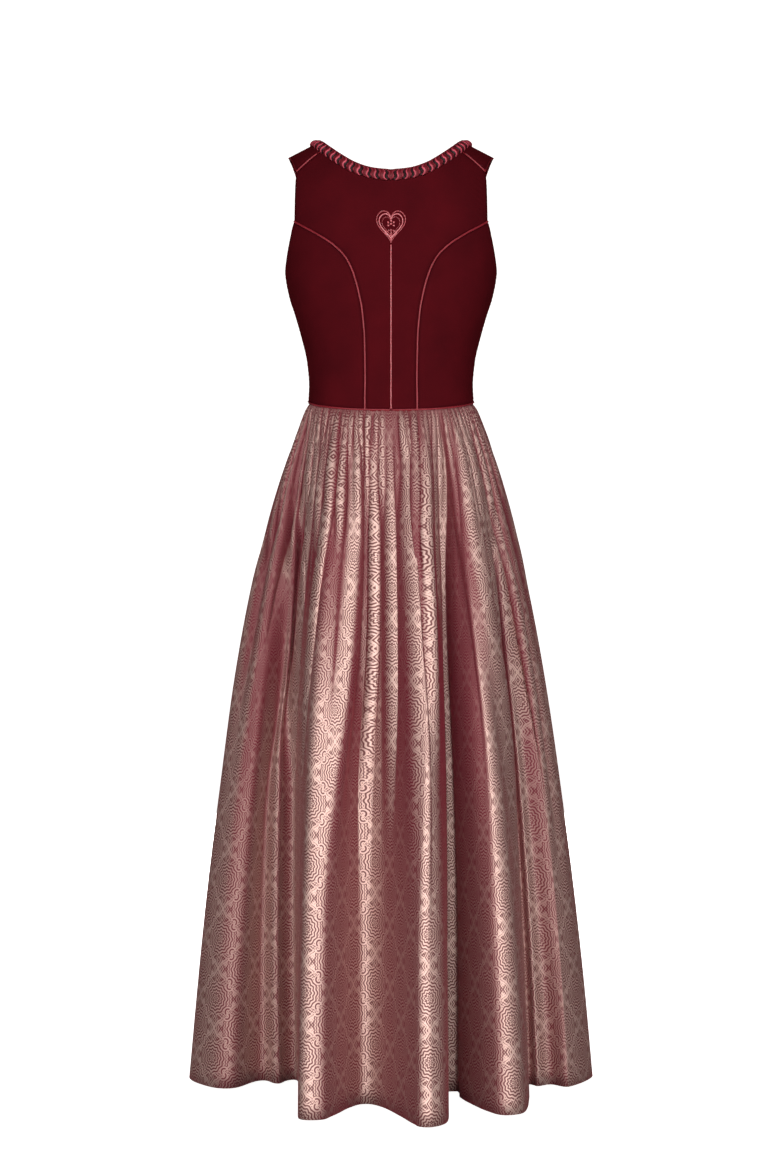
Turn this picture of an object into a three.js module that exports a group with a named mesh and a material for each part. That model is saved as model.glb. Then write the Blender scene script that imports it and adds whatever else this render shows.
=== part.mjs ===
// A floor-length dirndl, worn and hollow: a fitted sleeveless velvet bodice with piped princess
// seams, a ruched neck trim and a beaded centre back, sewn to a full gathered jacquard skirt.
//
// Millimetres, +Z up. The front faces -Y and +X is the wearer's left. The origin lies midway
// between the shoulders, level with the shoulder ridge beside the neck, where the wearer
// carries the dress. Every piece is a wall of cloth, open inside.
import * as THREE from "three";
import { mergeVertices } from "three/addons/utils/BufferGeometryUtils.js";

// ---------------------------------------------------------------- driving sizes
const VELVET = 2.0; // thickness of a bodice wall
const JACQUARD = 1.2; // thickness of the skirt wall
const SEAM_GAP = 0.5; // between two pieces that are sewn together
const SKIRT_SEAM_GAP = 0.9; // between the two widths of the skirt, whose seams run along folds
const REST_GAP = 0.3; // between a panel and what lies on it
const PIPING_R = 1.3; // radius of the cord in the piped seams
const BEAD_LINE_R = 1.7; // radius of the beaded line down the centre back

const SIDE_WAIST_Z = -380; // the waist seam at the side seams
const BACK_DIP = 17.5; // how much lower the waist seam is at the centre back
const FRONT_DIP = 10; // and at the centre front
const UNDERARM_Z = -192; // the lowest point of the armhole
const HEM_Z = -1386;

const DOME_Z = -110; // above this height the panels curve over towards the shoulder ridge
const RIDGE_X = 109; // the ridge is at z = 0 here, beside the neck
const RIDGE_SLOPE = 0.5; // fall of the shoulder, per millimetre outwards
const SQUARENESS = 2.3; // exponent of the superellipse that a level section follows

// Level sections of the bodice: half its width, and its reach behind and in front of the
// side seams.
const SECTIONS = [
  { z: -398, half: 120, back: 80, front: 88 },
  { z: -380, half: 120, back: 80.5, front: 89 },
  { z: -355, half: 119, back: 82, front: 92 },
  { z: -320, half: 122, back: 87, front: 101 },
  { z: -285, half: 130, back: 93, front: 114 },
  { z: -250, half: 140, back: 97.5, front: 127 },
  { z: -225, half: 148, back: 100, front: 131 },
  { z: -196, half: 153.5, back: 101, front: 126 },
  { z: -150, half: 157, back: 100.5, front: 113.5 },
  { z: -110, half: 158, back: 98, front: 106 },
];
const CUP = { tau: 40, z: -230, rise: 12, spread: 24, tall: 42 }; // fullness over each bust point

// ---------------------------------------------------------------- small maths
const radians = (degrees) => (degrees * Math.PI) / 180;
const degrees = (angle) => (angle * 180) / Math.PI;
const mix = (a, b, t) => a + (b - a) * t;
const clamp01 = (t) => Math.min(1, Math.max(0, t));
const smooth = (t) => clamp01(t) ** 2 * (3 - 2 * clamp01(t));
const signedPower = (v, p) => Math.sign(v) * Math.abs(v) ** p;

// A slope at each knot that keeps the curve through the values free of overshoot.
function gentleSlopes(knots, values) {
  const rise = values.slice(1).map((v, i) => (v - values[i]) / (knots[i + 1] - knots[i]));
  return values.map((_, i) => {
    if (i === 0) return rise[0];
    if (i === values.length - 1) return rise[i - 1];
    const [a, b] = [rise[i - 1], rise[i]];
    return a * b <= 0 ? 0 : (2 * a * b) / (a + b);
  });
}

// Cubic Hermite curve through the values, for any argument between the first and last knot.
function curveThrough(knots, values, slopes = gentleSlopes(knots, values)) {
  return (at) => {
    let i = 0;
    while (i < knots.length - 2 && at > knots[i + 1]) i += 1;
    const width = knots[i + 1] - knots[i];
    const t = clamp01((at - knots[i]) / width);
    return (
      values[i] * (1 + 2 * t) * (1 - t) ** 2 +
      slopes[i] * width * t * (1 - t) ** 2 +
      values[i + 1] * t * t * (3 - 2 * t) +
      slopes[i + 1] * width * t * t * (t - 1)
    );
  };
}

const column = (table, name) => table.map((row) => row[name]);
// The sections end level at DOME_Z, where the curve over the shoulder begins.
function sectionCurve(name) {
  const [heights, sizes] = [column(SECTIONS, "z"), column(SECTIONS, name)];
  return curveThrough(heights, sizes, [...gentleSlopes(heights, sizes).slice(0, -1), 0]);
}
const halfWidth = sectionCurve("half");
const backReach = sectionCurve("back");
const frontReach = sectionCurve("front");
const ridgeZ = (x) => -RIDGE_SLOPE * (x - RIDGE_X);

// ---------------------------------------------------------------- the bodice's surface
// A place on the bodice is { tau, path }. tau runs from 0 at the centre line to 90 degrees at
// the side seam. path is the height, with DOME_Z..0 bent over the shoulder: negative in
// front, 0 on the shoulder ridge, positive behind.
function surface({ tau, path }) {
  const behind = path > 0;
  const height = -Math.abs(path);
  const across = signedPower(Math.sin(radians(tau)), 2 / SQUARENESS);
  const depth = signedPower(Math.cos(radians(tau)), 2 / SQUARENESS);
  const level = Math.min(height, DOME_Z);
  const lift = height > DOME_Z ? radians(90 * (1 - height / DOME_Z)) : 0;
  const x = halfWidth(level) * across;
  const cup =
    CUP.rise *
    Math.exp(-(((tau - CUP.tau) / CUP.spread) ** 2) - ((level - CUP.z) / CUP.tall) ** 2);
  const y = behind ? backReach(level) * depth : -(frontReach(level) * depth + cup);
  const z = lift > 0 ? DOME_Z + (ridgeZ(x) - DOME_Z) * Math.sin(lift) : height;
  return new THREE.Vector3(x, y * Math.cos(lift), z);
}

function outward({ tau, path }) {
  const step = 0.5;
  const byTau = surface({ tau: tau + step, path }).sub(surface({ tau: tau - step, path }));
  const nudge = Math.abs(path) < step ? Math.abs(path) + step : step;
  const byPath = surface({ tau, path: path + nudge }).sub(surface({ tau, path: path - nudge }));
  const normal = byTau.cross(byPath).normalize();
  const here = surface({ tau, path });
  const away = new THREE.Vector3(here.x, here.y, Math.max(0, here.z - DOME_Z));
  return normal.dot(away) < 0 ? normal.negate() : normal;
}

const sideways = (x, z) => degrees(Math.asin(clamp01(x / halfWidth(z)) ** (SQUARENESS / 2)));

// The place at half-breadth x and height z, on the back or the front.
function onBack(x, z) {
  const level = Math.min(z, DOME_Z);
  if (z <= DOME_Z) return { tau: sideways(x, level), path: -z };
  const lift = degrees(Math.asin((z - DOME_Z) / (ridgeZ(x) - DOME_Z)));
  return { tau: sideways(x, level), path: -DOME_Z * (1 - lift / 90) };
}
function onFront(x, z) {
  const place = onBack(x, z);
  return { tau: place.tau, path: -place.path };
}
// The place at half-breadth x that is lift degrees up the curve from the front: 90 is the ridge.
const overShoulder = (x, lift) => ({ tau: sideways(x, DOME_Z), path: DOME_Z * (1 - lift / 90) });

const waistZ = (tau, dip) => SIDE_WAIST_Z - dip * Math.cos(radians(tau));
const between = (a, b, t) => ({ tau: mix(a.tau, b.tau, t), path: mix(a.path, b.path, t) });

// ---------------------------------------------------------------- pattern tables
// Half of the back: each row runs from the centre back or neckline out to the princess seam
// or armhole. x and z are the two ends of the row.
const BACK_ROWS = [
  { innerX: 0, innerZ: -397.5, outerX: 37.5, outerZ: -396.8 },
  { innerX: 0, innerZ: -352, outerX: 37, outerZ: -352 },
  { innerX: 0, innerZ: -316, outerX: 37.4, outerZ: -316 },
  { innerX: 0, innerZ: -283, outerX: 38.4, outerZ: -283 },
  { innerX: 0, innerZ: -253, outerX: 41.2, outerZ: -254 },
  { innerX: 0, innerZ: -224, outerX: 46.3, outerZ: -227 },
  { innerX: 0, innerZ: -195, outerX: 54, outerZ: -200 },
  { innerX: 0, innerZ: -165, outerX: 65.3, outerZ: -177 },
  { innerX: 0, innerZ: -128, outerX: 82.5, outerZ: -159 },
  { innerX: 0, innerZ: -88, outerX: 106.5, outerZ: -142 },
  { innerX: 0, innerZ: -53, outerX: 139.8, outerZ: -120 }, // neckline centre, foot of armhole
  { innerX: 30, innerZ: -49, outerX: 139.6, outerZ: -104 },
  { innerX: 52, innerZ: -40.5, outerX: 139.3, outerZ: -88 },
  { innerX: 71, innerZ: -28, outerX: 138.8, outerZ: -73 },
  { innerX: 83, innerZ: -18.5, outerX: 138, outerZ: -60 },
  { innerX: 92, innerZ: -10.5, outerX: 137, outerZ: -48 }, // the shoulder seam
];
const BACK_NECK_ROW = 10; // from here up the two halves part at the neckline

// Half of the front, from the centre front or neckline out to the princess seam or armhole.
const FRONT_LOW_ROWS = [
  { innerX: 0, innerZ: -390, outerX: 50, outerZ: -389 },
  { innerX: 0, innerZ: -350, outerX: 52, outerZ: -350 },
  { innerX: 0, innerZ: -312, outerX: 60, outerZ: -312 },
  { innerX: 0, innerZ: -277, outerX: 73, outerZ: -277 },
  { innerX: 0, innerZ: -246, outerX: 84, outerZ: -248 },
  { innerX: 0, innerZ: -217, outerX: 93, outerZ: -222 },
  { innerX: 0, innerZ: -192, outerX: 103, outerZ: -195 },
  { innerX: 0, innerZ: -170, outerX: 114, outerZ: -170 }, // neckline centre
  { innerX: 34, innerZ: -165, outerX: 124, outerZ: -149 },
  { innerX: 58, innerZ: -151, outerX: 133, outerZ: -130 }, // foot of the armhole
  { innerX: 72, innerZ: -137, outerX: 132.4, outerZ: -121 },
  { innerX: 81, innerZ: -121, outerX: 132, outerZ: -110 },
];
// The strap, carried over the ridge to the shoulder seam behind it. lift is in degrees.
const STRAP_ROWS = [
  { innerX: 87, innerLift: 2, outerX: 132.5, outerLift: 10 },
  { innerX: 95, innerLift: 18, outerX: 135, outerLift: 24 },
  { innerX: 101, innerLift: 37, outerX: 139, outerLift: 40 },
  { innerX: 105, innerLift: 57, outerX: 145, outerLift: 59 },
  { innerX: 107, innerLift: 76, outerX: 149.5, outerLift: 77 },
  { innerX: 107, innerLift: 92, outerX: 151, outerLift: 93 },
  { innerX: 102, innerLift: 107, outerX: 146, outerLift: 114 },
];
const FRONT_SEAM_ROWS = 10; // rows of FRONT_LOW_ROWS up to the armhole
const SIDE_COLUMNS = 5;
const BACK_COLUMNS = 5;
const FRONT_COLUMNS = 5;
const ARMHOLE_SCOOP = { back: 14, front: 16 }; // how far the armhole hollows below a straight line

const backRows = BACK_ROWS.map((row) => ({
  inner: onBack(row.innerX, row.innerZ),
  outer: onBack(row.outerX, row.outerZ),
}));
const frontRows = [
  ...FRONT_LOW_ROWS.map((row) => ({
    inner: onFront(row.innerX, row.innerZ),
    outer: onFront(row.outerX, row.outerZ),
  })),
  ...STRAP_ROWS.map((row) => ({
    inner: overShoulder(row.innerX, row.innerLift),
    outer: overShoulder(row.outerX, row.outerLift),
  })),
  backRows[backRows.length - 1],
];

// A side panel's rows run from a princess seam to the side seam. The upper rows are hollowed
// more and more, until the last one is the armhole.
function sideRows(seam, dip, scoop) {
  const behind = Math.sign(seam[0].path);
  return seam.map((inner, i) => {
    const t = i / (seam.length - 1);
    const outer = { tau: 90, path: behind * -mix(waistZ(90, dip), UNDERARM_Z, t) };
    return { inner, outer, bow: behind * scoop * t ** 3 };
  });
}

function gridPlaces(rows, columns) {
  return rows.map(({ inner, outer, bow = 0 }) =>
    Array.from({ length: columns + 1 }, (_, i) => {
      const t = i / columns;
      const place = between(inner, outer, t);
      return { tau: place.tau, path: place.path + bow * 4 * t * (1 - t) };
    }),
  );
}

// ---------------------------------------------------------------- from places to walls
// Points and outward normals of a grid of places. side is 1 for the wearer's left, -1 right.
function gridPoints(places, side) {
  const mirror = new THREE.Vector3(side, 1, 1);
  return places.map((row) =>
    row.map((place) => ({
      point: surface(place).multiply(mirror),
      normal: outward(place).multiply(mirror),
    })),
  );
}

// Draws the outer rows and columns in by half a seam gap, so that two panels never touch.
function trimmed(grid) {
  const pull = (from, to) =>
    to.point.clone().sub(from.point).normalize().multiplyScalar(SEAM_GAP / 2);
  const lastRow = grid.length - 1;
  return grid.map((row, j) =>
    row.map((spot, i) => {
      const point = spot.point.clone();
      if (i === 0 && !row.open) point.add(pull(spot, row[1]));
      if (i === row.length - 1) point.add(pull(spot, row[i - 1]));
      if (j === 0) point.add(pull(spot, grid[1][i]));
      if (j === lastRow) point.add(pull(spot, grid[j - 1][i]));
      return { point, normal: spot.normal };
    }),
  );
}

// Turns faces over a list of spots into a closed wall: an outer sheet, an inner sheet, and a
// rim along every edge that only one face uses.
function wall(spots, quads, thickness) {
  const count = spots.length;
  const vertices = [0.5, -0.5].flatMap((share) =>
    spots.flatMap(({ point, normal }) =>
      point.clone().addScaledVector(normal, share * thickness).toArray(),
    ),
  );
  const index = [];
  const edges = new Map();
  for (const [a, b, c, d] of quads) {
    index.push(a, b, c, a, c, d);
    index.push(count + a, count + c, count + b, count + a, count + d, count + c);
    for (const [from, to] of [[a, b], [b, c], [c, d], [d, a]]) {
      if (edges.has(`${to},${from}`)) edges.delete(`${to},${from}`);
      else edges.set(`${from},${to}`, [from, to]);
    }
  }
  for (const [from, to] of edges.values()) {
    index.push(from, count + from, to, to, count + from, count + to);
  }
  return geometryOf(vertices, index);
}

function geometryOf(vertices, index) {
  const geometry = new THREE.BufferGeometry();
  geometry.setAttribute("position", new THREE.Float32BufferAttribute(vertices, 3));
  geometry.setIndex(index);
  const merged = mergeVertices(geometry, 1e-4);
  merged.computeVertexNormals();
  return merged;
}

// Quads over a grid whose spots are numbered row by row. flip turns the faces round.
function gridQuads(rows, columns, first, flip) {
  const quads = [];
  for (let j = 0; j < rows - 1; j += 1) {
    for (let i = 0; i < columns - 1; i += 1) {
      const a = first + j * columns + i;
      const quad = [a, a + 1, a + columns + 1, a + columns];
      quads.push(flip ? quad.reverse() : quad);
    }
  }
  return quads;
}

// The faces of a grid point outwards if the first quad's corner turns that way.
function facesInwards(grid) {
  const [a, b, c] = [grid[0][0], grid[0][1], grid[1][0]];
  const turn = b.point.clone().sub(a.point).cross(c.point.clone().sub(a.point));
  return turn.dot(a.normal) < 0;
}

function gridWall(grid, thickness) {
  const flip = facesInwards(grid);
  return wall(grid.flat(), gridQuads(grid.length, grid[0].length, 0, flip), thickness);
}

// The whole back in one piece: both halves share the centre column up to the neckline.
function backWall() {
  const places = gridPlaces(backRows, BACK_COLUMNS);
  const halves = [1, -1].map((side) => {
    const grid = gridPoints(places, side);
    grid.forEach((row, j) => {
      row.open = j < BACK_NECK_ROW;
    });
    return trimmed(grid);
  });
  for (const row of halves.flatMap((grid) => grid.slice(0, BACK_NECK_ROW + 1))) {
    row[0].point.x = 0;
    row[0].normal.setX(0).normalize();
  }
  const shared = new Map();
  const spots = [];
  const number = (spot) => {
    const key = spot.point.toArray().map((v) => Math.round(v * 1e3)).join();
    if (!shared.has(key)) shared.set(key, spots.push(spot) - 1);
    return shared.get(key);
  };
  const quads = halves.flatMap((grid) => {
    const ids = grid.map((row) => row.map(number));
    const flip = facesInwards(grid);
    return ids.slice(1).flatMap((row, j) =>
      row.slice(1).map((_, i) => {
        const quad = [ids[j][i], ids[j][i + 1], row[i + 1], row[i]];
        return flip ? quad.reverse() : quad;
      }),
    );
  });
  return wall(spots, quads, VELVET);
}

// A round cord on the cloth: a ring of sides round each stop of a path. A stop is a point on
// the wall's middle and its outward normal.
function cordGeometry(stops, radius, sides, clearance, closed = false) {
  const vertices = [];
  const rings = stops.map(({ point, normal }, i) => {
    const before = stops[closed ? (i + stops.length - 1) % stops.length : Math.max(0, i - 1)];
    const after = stops[closed ? (i + 1) % stops.length : Math.min(stops.length - 1, i + 1)];
    const along = after.point.clone().sub(before.point).normalize();
    const across = along.clone().cross(normal).normalize();
    const centre = point.clone().addScaledVector(normal, VELVET / 2 + clearance + radius);
    return Array.from({ length: sides }, (_, k) => {
      const angle = (2 * Math.PI * k) / sides;
      const corner = centre.clone();
      corner.addScaledVector(across, radius * Math.cos(angle));
      corner.addScaledVector(normal, radius * Math.sin(angle));
      return vertices.push(...corner.toArray()) / 3 - 1;
    });
  });
  return tubeBetween(rings, vertices, closed);
}

// Joins rings of equal length into a tube, with a flat cap at each end unless it is closed.
function tubeBetween(rings, vertices, closed) {
  const index = [];
  const sides = rings[0].length;
  const spans = closed ? rings.length : rings.length - 1;
  for (let i = 0; i < spans; i += 1) {
    const [near, far] = [rings[i], rings[(i + 1) % rings.length]];
    for (let k = 0; k < sides; k += 1) {
      const next = (k + 1) % sides;
      index.push(near[k], near[next], far[next], near[k], far[next], far[k]);
    }
  }
  if (!closed) {
    const last = rings[rings.length - 1];
    for (let k = 1; k < sides - 1; k += 1) {
      index.push(rings[0][0], rings[0][k + 1], rings[0][k]);
      index.push(last[0], last[k], last[k + 1]);
    }
  }
  return facingOut(geometryOf(vertices, index));
}

// Reverses every triangle of a closed geometry whose volume comes out negative.
function facingOut(geometry) {
  const index = geometry.getIndex().array;
  const at = (i) => new THREE.Vector3().fromBufferAttribute(geometry.getAttribute("position"), i);
  let volume = 0;
  for (let i = 0; i < index.length; i += 3) {
    volume += at(index[i]).dot(at(index[i + 1]).cross(at(index[i + 2])));
  }
  if (volume < 0) {
    for (let i = 0; i < index.length; i += 3) {
      [index[i + 1], index[i + 2]] = [index[i + 2], index[i + 1]];
    }
    geometry.computeVertexNormals();
  }
  return geometry;
}

// ---------------------------------------------------------------- cords on the seams
const CORD_SIDES = 6;
const CORD_END = 0.12; // share of the first span left free, for the waist piping
const SHOULDER_CORD_START = 0.36; // share of the shoulder seam that the neck trim covers
const spotAt = (place, side) => gridPoints([[place]], side)[0][0];

function seamStops(places, side, first = CORD_END) {
  const [start, ...rest] = places.map((place) => spotAt(place, side));
  start.point.lerp(rest[0].point, first);
  return [start, ...rest];
}

function shoulderStops(side) {
  const { inner, outer } = backRows[backRows.length - 1];
  const shares = [0.6, 0.8, 1];
  return seamStops([SHOULDER_CORD_START, ...shares].map((t) => between(inner, outer, t)), side);
}

// The piped edge all round the waist, on the lower edge of the bodice.
const WAIST_STEPS = 12; // stops in each quarter
const WAIST_CORD_R = 1.1;
const WAIST_CORD_LIFT = 2.4; // height of its middle above the seam
const WAIST_CORD_GAP = 0.6; // between it and the bodice
function waistStops() {
  const quarter = (behind, dip, side) =>
    Array.from({ length: WAIST_STEPS + 1 }, (_, i) => {
      const tau = (90 * i) / WAIST_STEPS;
      return spotAt({ tau, path: behind * -(waistZ(tau, dip) + WAIST_CORD_LIFT) }, side);
    });
  return [
    ...quarter(1, BACK_DIP, 1).slice(0, -1),
    ...quarter(-1, FRONT_DIP, 1).reverse().slice(0, -1),
    ...quarter(-1, FRONT_DIP, -1).slice(0, -1),
    ...quarter(1, BACK_DIP, -1).reverse().slice(0, -1),
  ];
}

// ---------------------------------------------------------------- the centre back
// A beaded line climbs the centre back to a small heart of beads and cord.
const ORNAMENT_FOOT_Z = -158;
const ORNAMENT_TALL = 47;
const ORNAMENT_THICK = 2.2;
const ORNAMENT_GAP = 0.6; // between it and the panel
const ORNAMENT_COLUMNS = 4;
const ORNAMENT_NOTCH = 9; // how far the heart dips between its two lobes
// Half its breadth at shares of its height from the foot.
const ORNAMENT_ROWS = [
  { share: 0, half: 1.2 },
  { share: 0.12, half: 6.5 },
  { share: 0.28, half: 13 },
  { share: 0.46, half: 18.5 },
  { share: 0.62, half: 21.2 },
  { share: 0.78, half: 21.2 },
  { share: 0.91, half: 17.8 },
  { share: 1, half: 11.5 },
];
const BEAD_LINE_ROWS = 8; // rows of BACK_ROWS that it passes below the ornament

function ornamentWall() {
  const grid = ORNAMENT_ROWS.map(({ share, half }) => {
    return Array.from({ length: ORNAMENT_COLUMNS * 2 + 1 }, (_, i) => {
      const across = (i - ORNAMENT_COLUMNS) / ORNAMENT_COLUMNS;
      const x = half * across;
      const notch = ORNAMENT_NOTCH * share ** 3 * (1 - Math.abs(across));
      const z = ORNAMENT_FOOT_Z + ORNAMENT_TALL * share - notch;
      const spot = spotAt(onBack(Math.abs(x), z), Math.sign(x) || 1);
      spot.point.addScaledVector(spot.normal, (VELVET + ORNAMENT_THICK) / 2 + ORNAMENT_GAP);
      return spot;
    });
  });
  return gridWall(grid, ORNAMENT_THICK);
}

function beadLineStops() {
  const places = backRows.slice(0, BEAD_LINE_ROWS).map((row) => row.inner);
  const top = onBack(0, ORNAMENT_FOOT_Z - 1.5);
  return seamStops([...places, top], 1);
}

// ---------------------------------------------------------------- the ruched neck trim
const RUCHE_PUFFS = 31; // on each half of the neckline
const RUCHE_BREADTH = 15.5;
const RUCHE_GAP = 0.9; // between the trim and the panel under it
const RUCHE_ENDS = 0.8; // its two ends stop this short of the centre front
// The trim's section at a puff and at the pinch between two puffs: how far in from the neck
// edge, as a share of its breadth, and how high.
const RUCHE_SECTION = [
  { inward: 0.02, puff: 0, pinch: 0 },
  { inward: -0.02, puff: 2.6, pinch: 1.6 },
  { inward: 0.3, puff: 5.6, pinch: 2.2 },
  { inward: 0.72, puff: 4.8, pinch: 2.0 },
  { inward: 1.0, puff: 1.8, pinch: 0.9 },
  { inward: 0.95, puff: 0, pinch: 0 },
];
const PINCH_BREADTH = 0.84; // the trim is this much narrower where it is pinched

// Walks from a place over the surface by a distance along a direction in space.
function walk(place, direction, distance) {
  const step = 0.5;
  const here = surface(place);
  const byTau = surface({ tau: place.tau + step, path: place.path }).sub(here);
  const byPath = surface({ tau: place.tau, path: place.path + step }).sub(here);
  const [aa, ab, bb] = [byTau.dot(byTau), byTau.dot(byPath), byPath.dot(byPath)];
  const [a, b] = [byTau.dot(direction) * distance, byPath.dot(direction) * distance];
  const scale = step / (aa * bb - ab * ab);
  return {
    tau: place.tau + scale * (a * bb - b * ab),
    path: place.path + scale * (b * aa - a * ab),
  };
}

// The neck edge of one half, as places in equal steps from the centre front to the centre back.
function neckPlaces(steps) {
  const edge = [
    ...frontRows.slice(7).map((row) => row.inner),
    ...backRows.slice(BACK_NECK_ROW, -1).reverse().map((row) => row.inner),
  ];
  const knots = edge.map((_, i) => i);
  const tau = curveThrough(knots, column(edge, "tau"));
  const path = curveThrough(knots, column(edge, "path"));
  const fine = 400;
  const dense = Array.from({ length: fine + 1 }, (_, i) => {
    const at = ((edge.length - 1) * i) / fine;
    return { tau: tau(at), path: path(at) };
  });
  const lengths = [0];
  dense.slice(1).forEach((place, i) => {
    lengths.push(lengths[i] + surface(place).distanceTo(surface(dense[i])));
  });
  const total = lengths[fine];
  return Array.from({ length: steps + 1 }, (_, i) => {
    const target = mix(RUCHE_ENDS, total, i / steps);
    const k = Math.min(fine - 1, lengths.findIndex((l) => l >= target - 1e-6));
    return dense[k];
  });
}

function rucheGeometry() {
  const steps = RUCHE_PUFFS * 2;
  const edge = neckPlaces(steps);
  const vertices = [];
  const half = (side) =>
    edge.map((place, i) => {
      const before = surface(edge[Math.max(0, i - 1)]);
      const along = surface(edge[Math.min(steps, i + 1)]).sub(before).normalize();
      const normal = outward(place);
      const inward = along.clone().cross(normal).normalize();
      const puffed = i % 2 === 1;
      const breadth = RUCHE_BREADTH * (puffed ? 1 : PINCH_BREADTH);
      return RUCHE_SECTION.map((corner) => {
        const at = walk(place, inward, corner.inward * breadth);
        const point = surface(at);
        const height = VELVET / 2 + RUCHE_GAP + (puffed ? corner.puff : corner.pinch);
        point.addScaledVector(outward(at), height);
        return vertices.push(point.x * side, point.y, point.z) / 3 - 1;
      });
    });
  const left = half(1);
  const right = half(-1).slice(0, -1).reverse();
  return tubeBetween([...left, ...right], vertices, false);
}

// ---------------------------------------------------------------- the skirt
// The skirt's level sections, by how far they are below the waist seam: half its width and
// half its depth, before the folds are added.
const SKIRT_ROWS = [
  { drop: 0, half: 118.5, deep: 84 },
  { drop: 8, half: 122.5, deep: 90 },
  { drop: 20, half: 127, deep: 96 },
  { drop: 38, half: 134, deep: 103 },
  { drop: 65, half: 144.5, deep: 112 },
  { drop: 105, half: 158.5, deep: 125 },
  { drop: 160, half: 172.5, deep: 140 },
  { drop: 235, half: 187, deep: 156 },
  { drop: 335, half: 203, deep: 174 },
  { drop: 455, half: 218.5, deep: 192 },
  { drop: 590, half: 233, deep: 208 },
  { drop: 730, half: 246, deep: 222 },
  { drop: 870, half: 257, deep: 233 },
  { drop: 1006, half: 266, deep: 241 },
];
// The hem seen from above, fold by fold, from the centre back round the wearer's left. x and y
// are where the cloth passes at the hem, and waist is the angle at which that thread of cloth
// leaves the waist, in degrees from the centre back.
const HEM_FOLDS = [
  { fold: "centre", x: -7, y: 189, waist: 0 },
  { fold: "centre trough", x: 33, y: 134, waist: 12 },
  { fold: "B rise", x: 71, y: 184, waist: 22 },
  { fold: "B crest", x: 104, y: 236, waist: 31 },
  { fold: "B edge", x: 131, y: 216, waist: 40 },
  { fold: "B flank", x: 127, y: 80, waist: 57 },
  { fold: "A trough", x: 141, y: -60, waist: 70 },
  { fold: "A rise", x: 215, y: -28, waist: 76 },
  { fold: "A crest", x: 257, y: 1, waist: 82 },
  { fold: "left side", x: 303, y: -82, waist: 91 },
  { fold: "left side", x: 284, y: -126, waist: 97 },
  { fold: "1 trough", x: 226, y: -124, waist: 102 },
  { fold: "1 rise", x: 214, y: -172, waist: 107 },
  { fold: "1 crest", x: 232, y: -214, waist: 113 },
  { fold: "1 crest", x: 196, y: -238, waist: 119 },
  { fold: "2 trough", x: 150, y: -182, waist: 126 },
  { fold: "2 trough", x: 120, y: -176, waist: 132 },
  { fold: "2 rise", x: 118, y: -226, waist: 138 },
  { fold: "2 crest", x: 124, y: -272, waist: 144 },
  { fold: "2 crest", x: 84, y: -286, waist: 151 },
  { fold: "3 trough", x: 52, y: -218, waist: 158 },
  { fold: "3 trough", x: 24, y: -212, waist: 164 },
  { fold: "3 rise", x: 18, y: -256, waist: 170 },
  { fold: "3 crest", x: 8, y: -290, waist: 176 },
  { fold: "3 crest", x: -30, y: -284, waist: 183 },
  { fold: "4 trough", x: -50, y: -222, waist: 190 },
  { fold: "4 trough", x: -78, y: -212, waist: 196 },
  { fold: "4 rise", x: -94, y: -252, waist: 202 },
  { fold: "4 crest", x: -116, y: -282, waist: 209 },
  { fold: "4 crest", x: -150, y: -258, waist: 216 },
  { fold: "5 trough", x: -146, y: -196, waist: 224 },
  { fold: "5 trough", x: -172, y: -170, waist: 231 },
  { fold: "5 rise", x: -206, y: -200, waist: 238 },
  { fold: "5 crest", x: -242, y: -212, waist: 245 },
  { fold: "5 crest", x: -252, y: -168, waist: 251 },
  { fold: "6 trough", x: -234, y: -128, waist: 258 },
  { fold: "6 rise", x: -270, y: -124, waist: 265 },
  { fold: "right side", x: -303, y: -92, waist: 272 },
  { fold: "E crest", x: -262, y: -5, waist: 287 },
  { fold: "E trough", x: -205, y: -22, waist: 299 },
  { fold: "D flank", x: -198, y: 74, waist: 309 },
  { fold: "D edge", x: -191, y: 166, waist: 316 },
  { fold: "D crest", x: -163, y: 204, waist: 321 },
  { fold: "D rise", x: -112, y: 108, waist: 325.5 },
  { fold: "C trough", x: -82, y: 30, waist: 329 },
  { fold: "C edge", x: -77, y: 238, waist: 341 },
  { fold: "C crest", x: -50, y: 284, waist: 349 },
];
// Shorter folds that start at the gathers and die out above the hem: where they leave the
// waist, how far down they reach and how far they stand out. The front has the same, turned
// half round.
const SHORT_FOLDS = [
  { waist: 66, reach: 420, rise: 6 },
  { waist: 52, reach: 560, rise: 9 },
  { waist: 44, reach: 430, rise: 8 },
  { waist: 33, reach: 560, rise: 11 },
  { waist: 8, reach: 500, rise: 8 },
  { waist: 1, reach: 720, rise: 9 },
  { waist: -7, reach: 400, rise: 8 },
  { waist: -41, reach: 640, rise: 15 },
  { waist: -52, reach: 320, rise: 8 },
  { waist: -74, reach: 480, rise: 7 },
  { waist: -86, reach: 380, rise: 7 },
  { waist: 78, reach: 500, rise: 8 },
];
const SHORT_FOLD_SPREAD = 3.4; // degrees at the waist from a short fold's middle to its foot
const SKIRT_COLUMNS = 72; // in each half; every second one is the crest of a gather
const GATHER_ROWS = [
  { drop: 0, rise: 1.5 },
  { drop: 20, rise: 2.6 },
  { drop: 65, rise: 2.4 },
  { drop: 160, rise: 0.8 },
  { drop: 235, rise: 0 },
  { drop: 1006, rise: 0 },
];
const FOLD_GROWTH = 0.92; // exponent of how the long folds deepen from waist to hem
const COLUMN_BY_CLOTH = 0.35; // columns are spaced by cloth at the hem this much, else by angle
const SIDE_DROP = SIDE_WAIST_Z - HEM_Z;

const skirtHalf = curveThrough(column(SKIRT_ROWS, "drop"), column(SKIRT_ROWS, "half"));
const skirtDeep = curveThrough(column(SKIRT_ROWS, "drop"), column(SKIRT_ROWS, "deep"));
const gatherRise = curveThrough(column(GATHER_ROWS, "drop"), column(GATHER_ROWS, "rise"));

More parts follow.
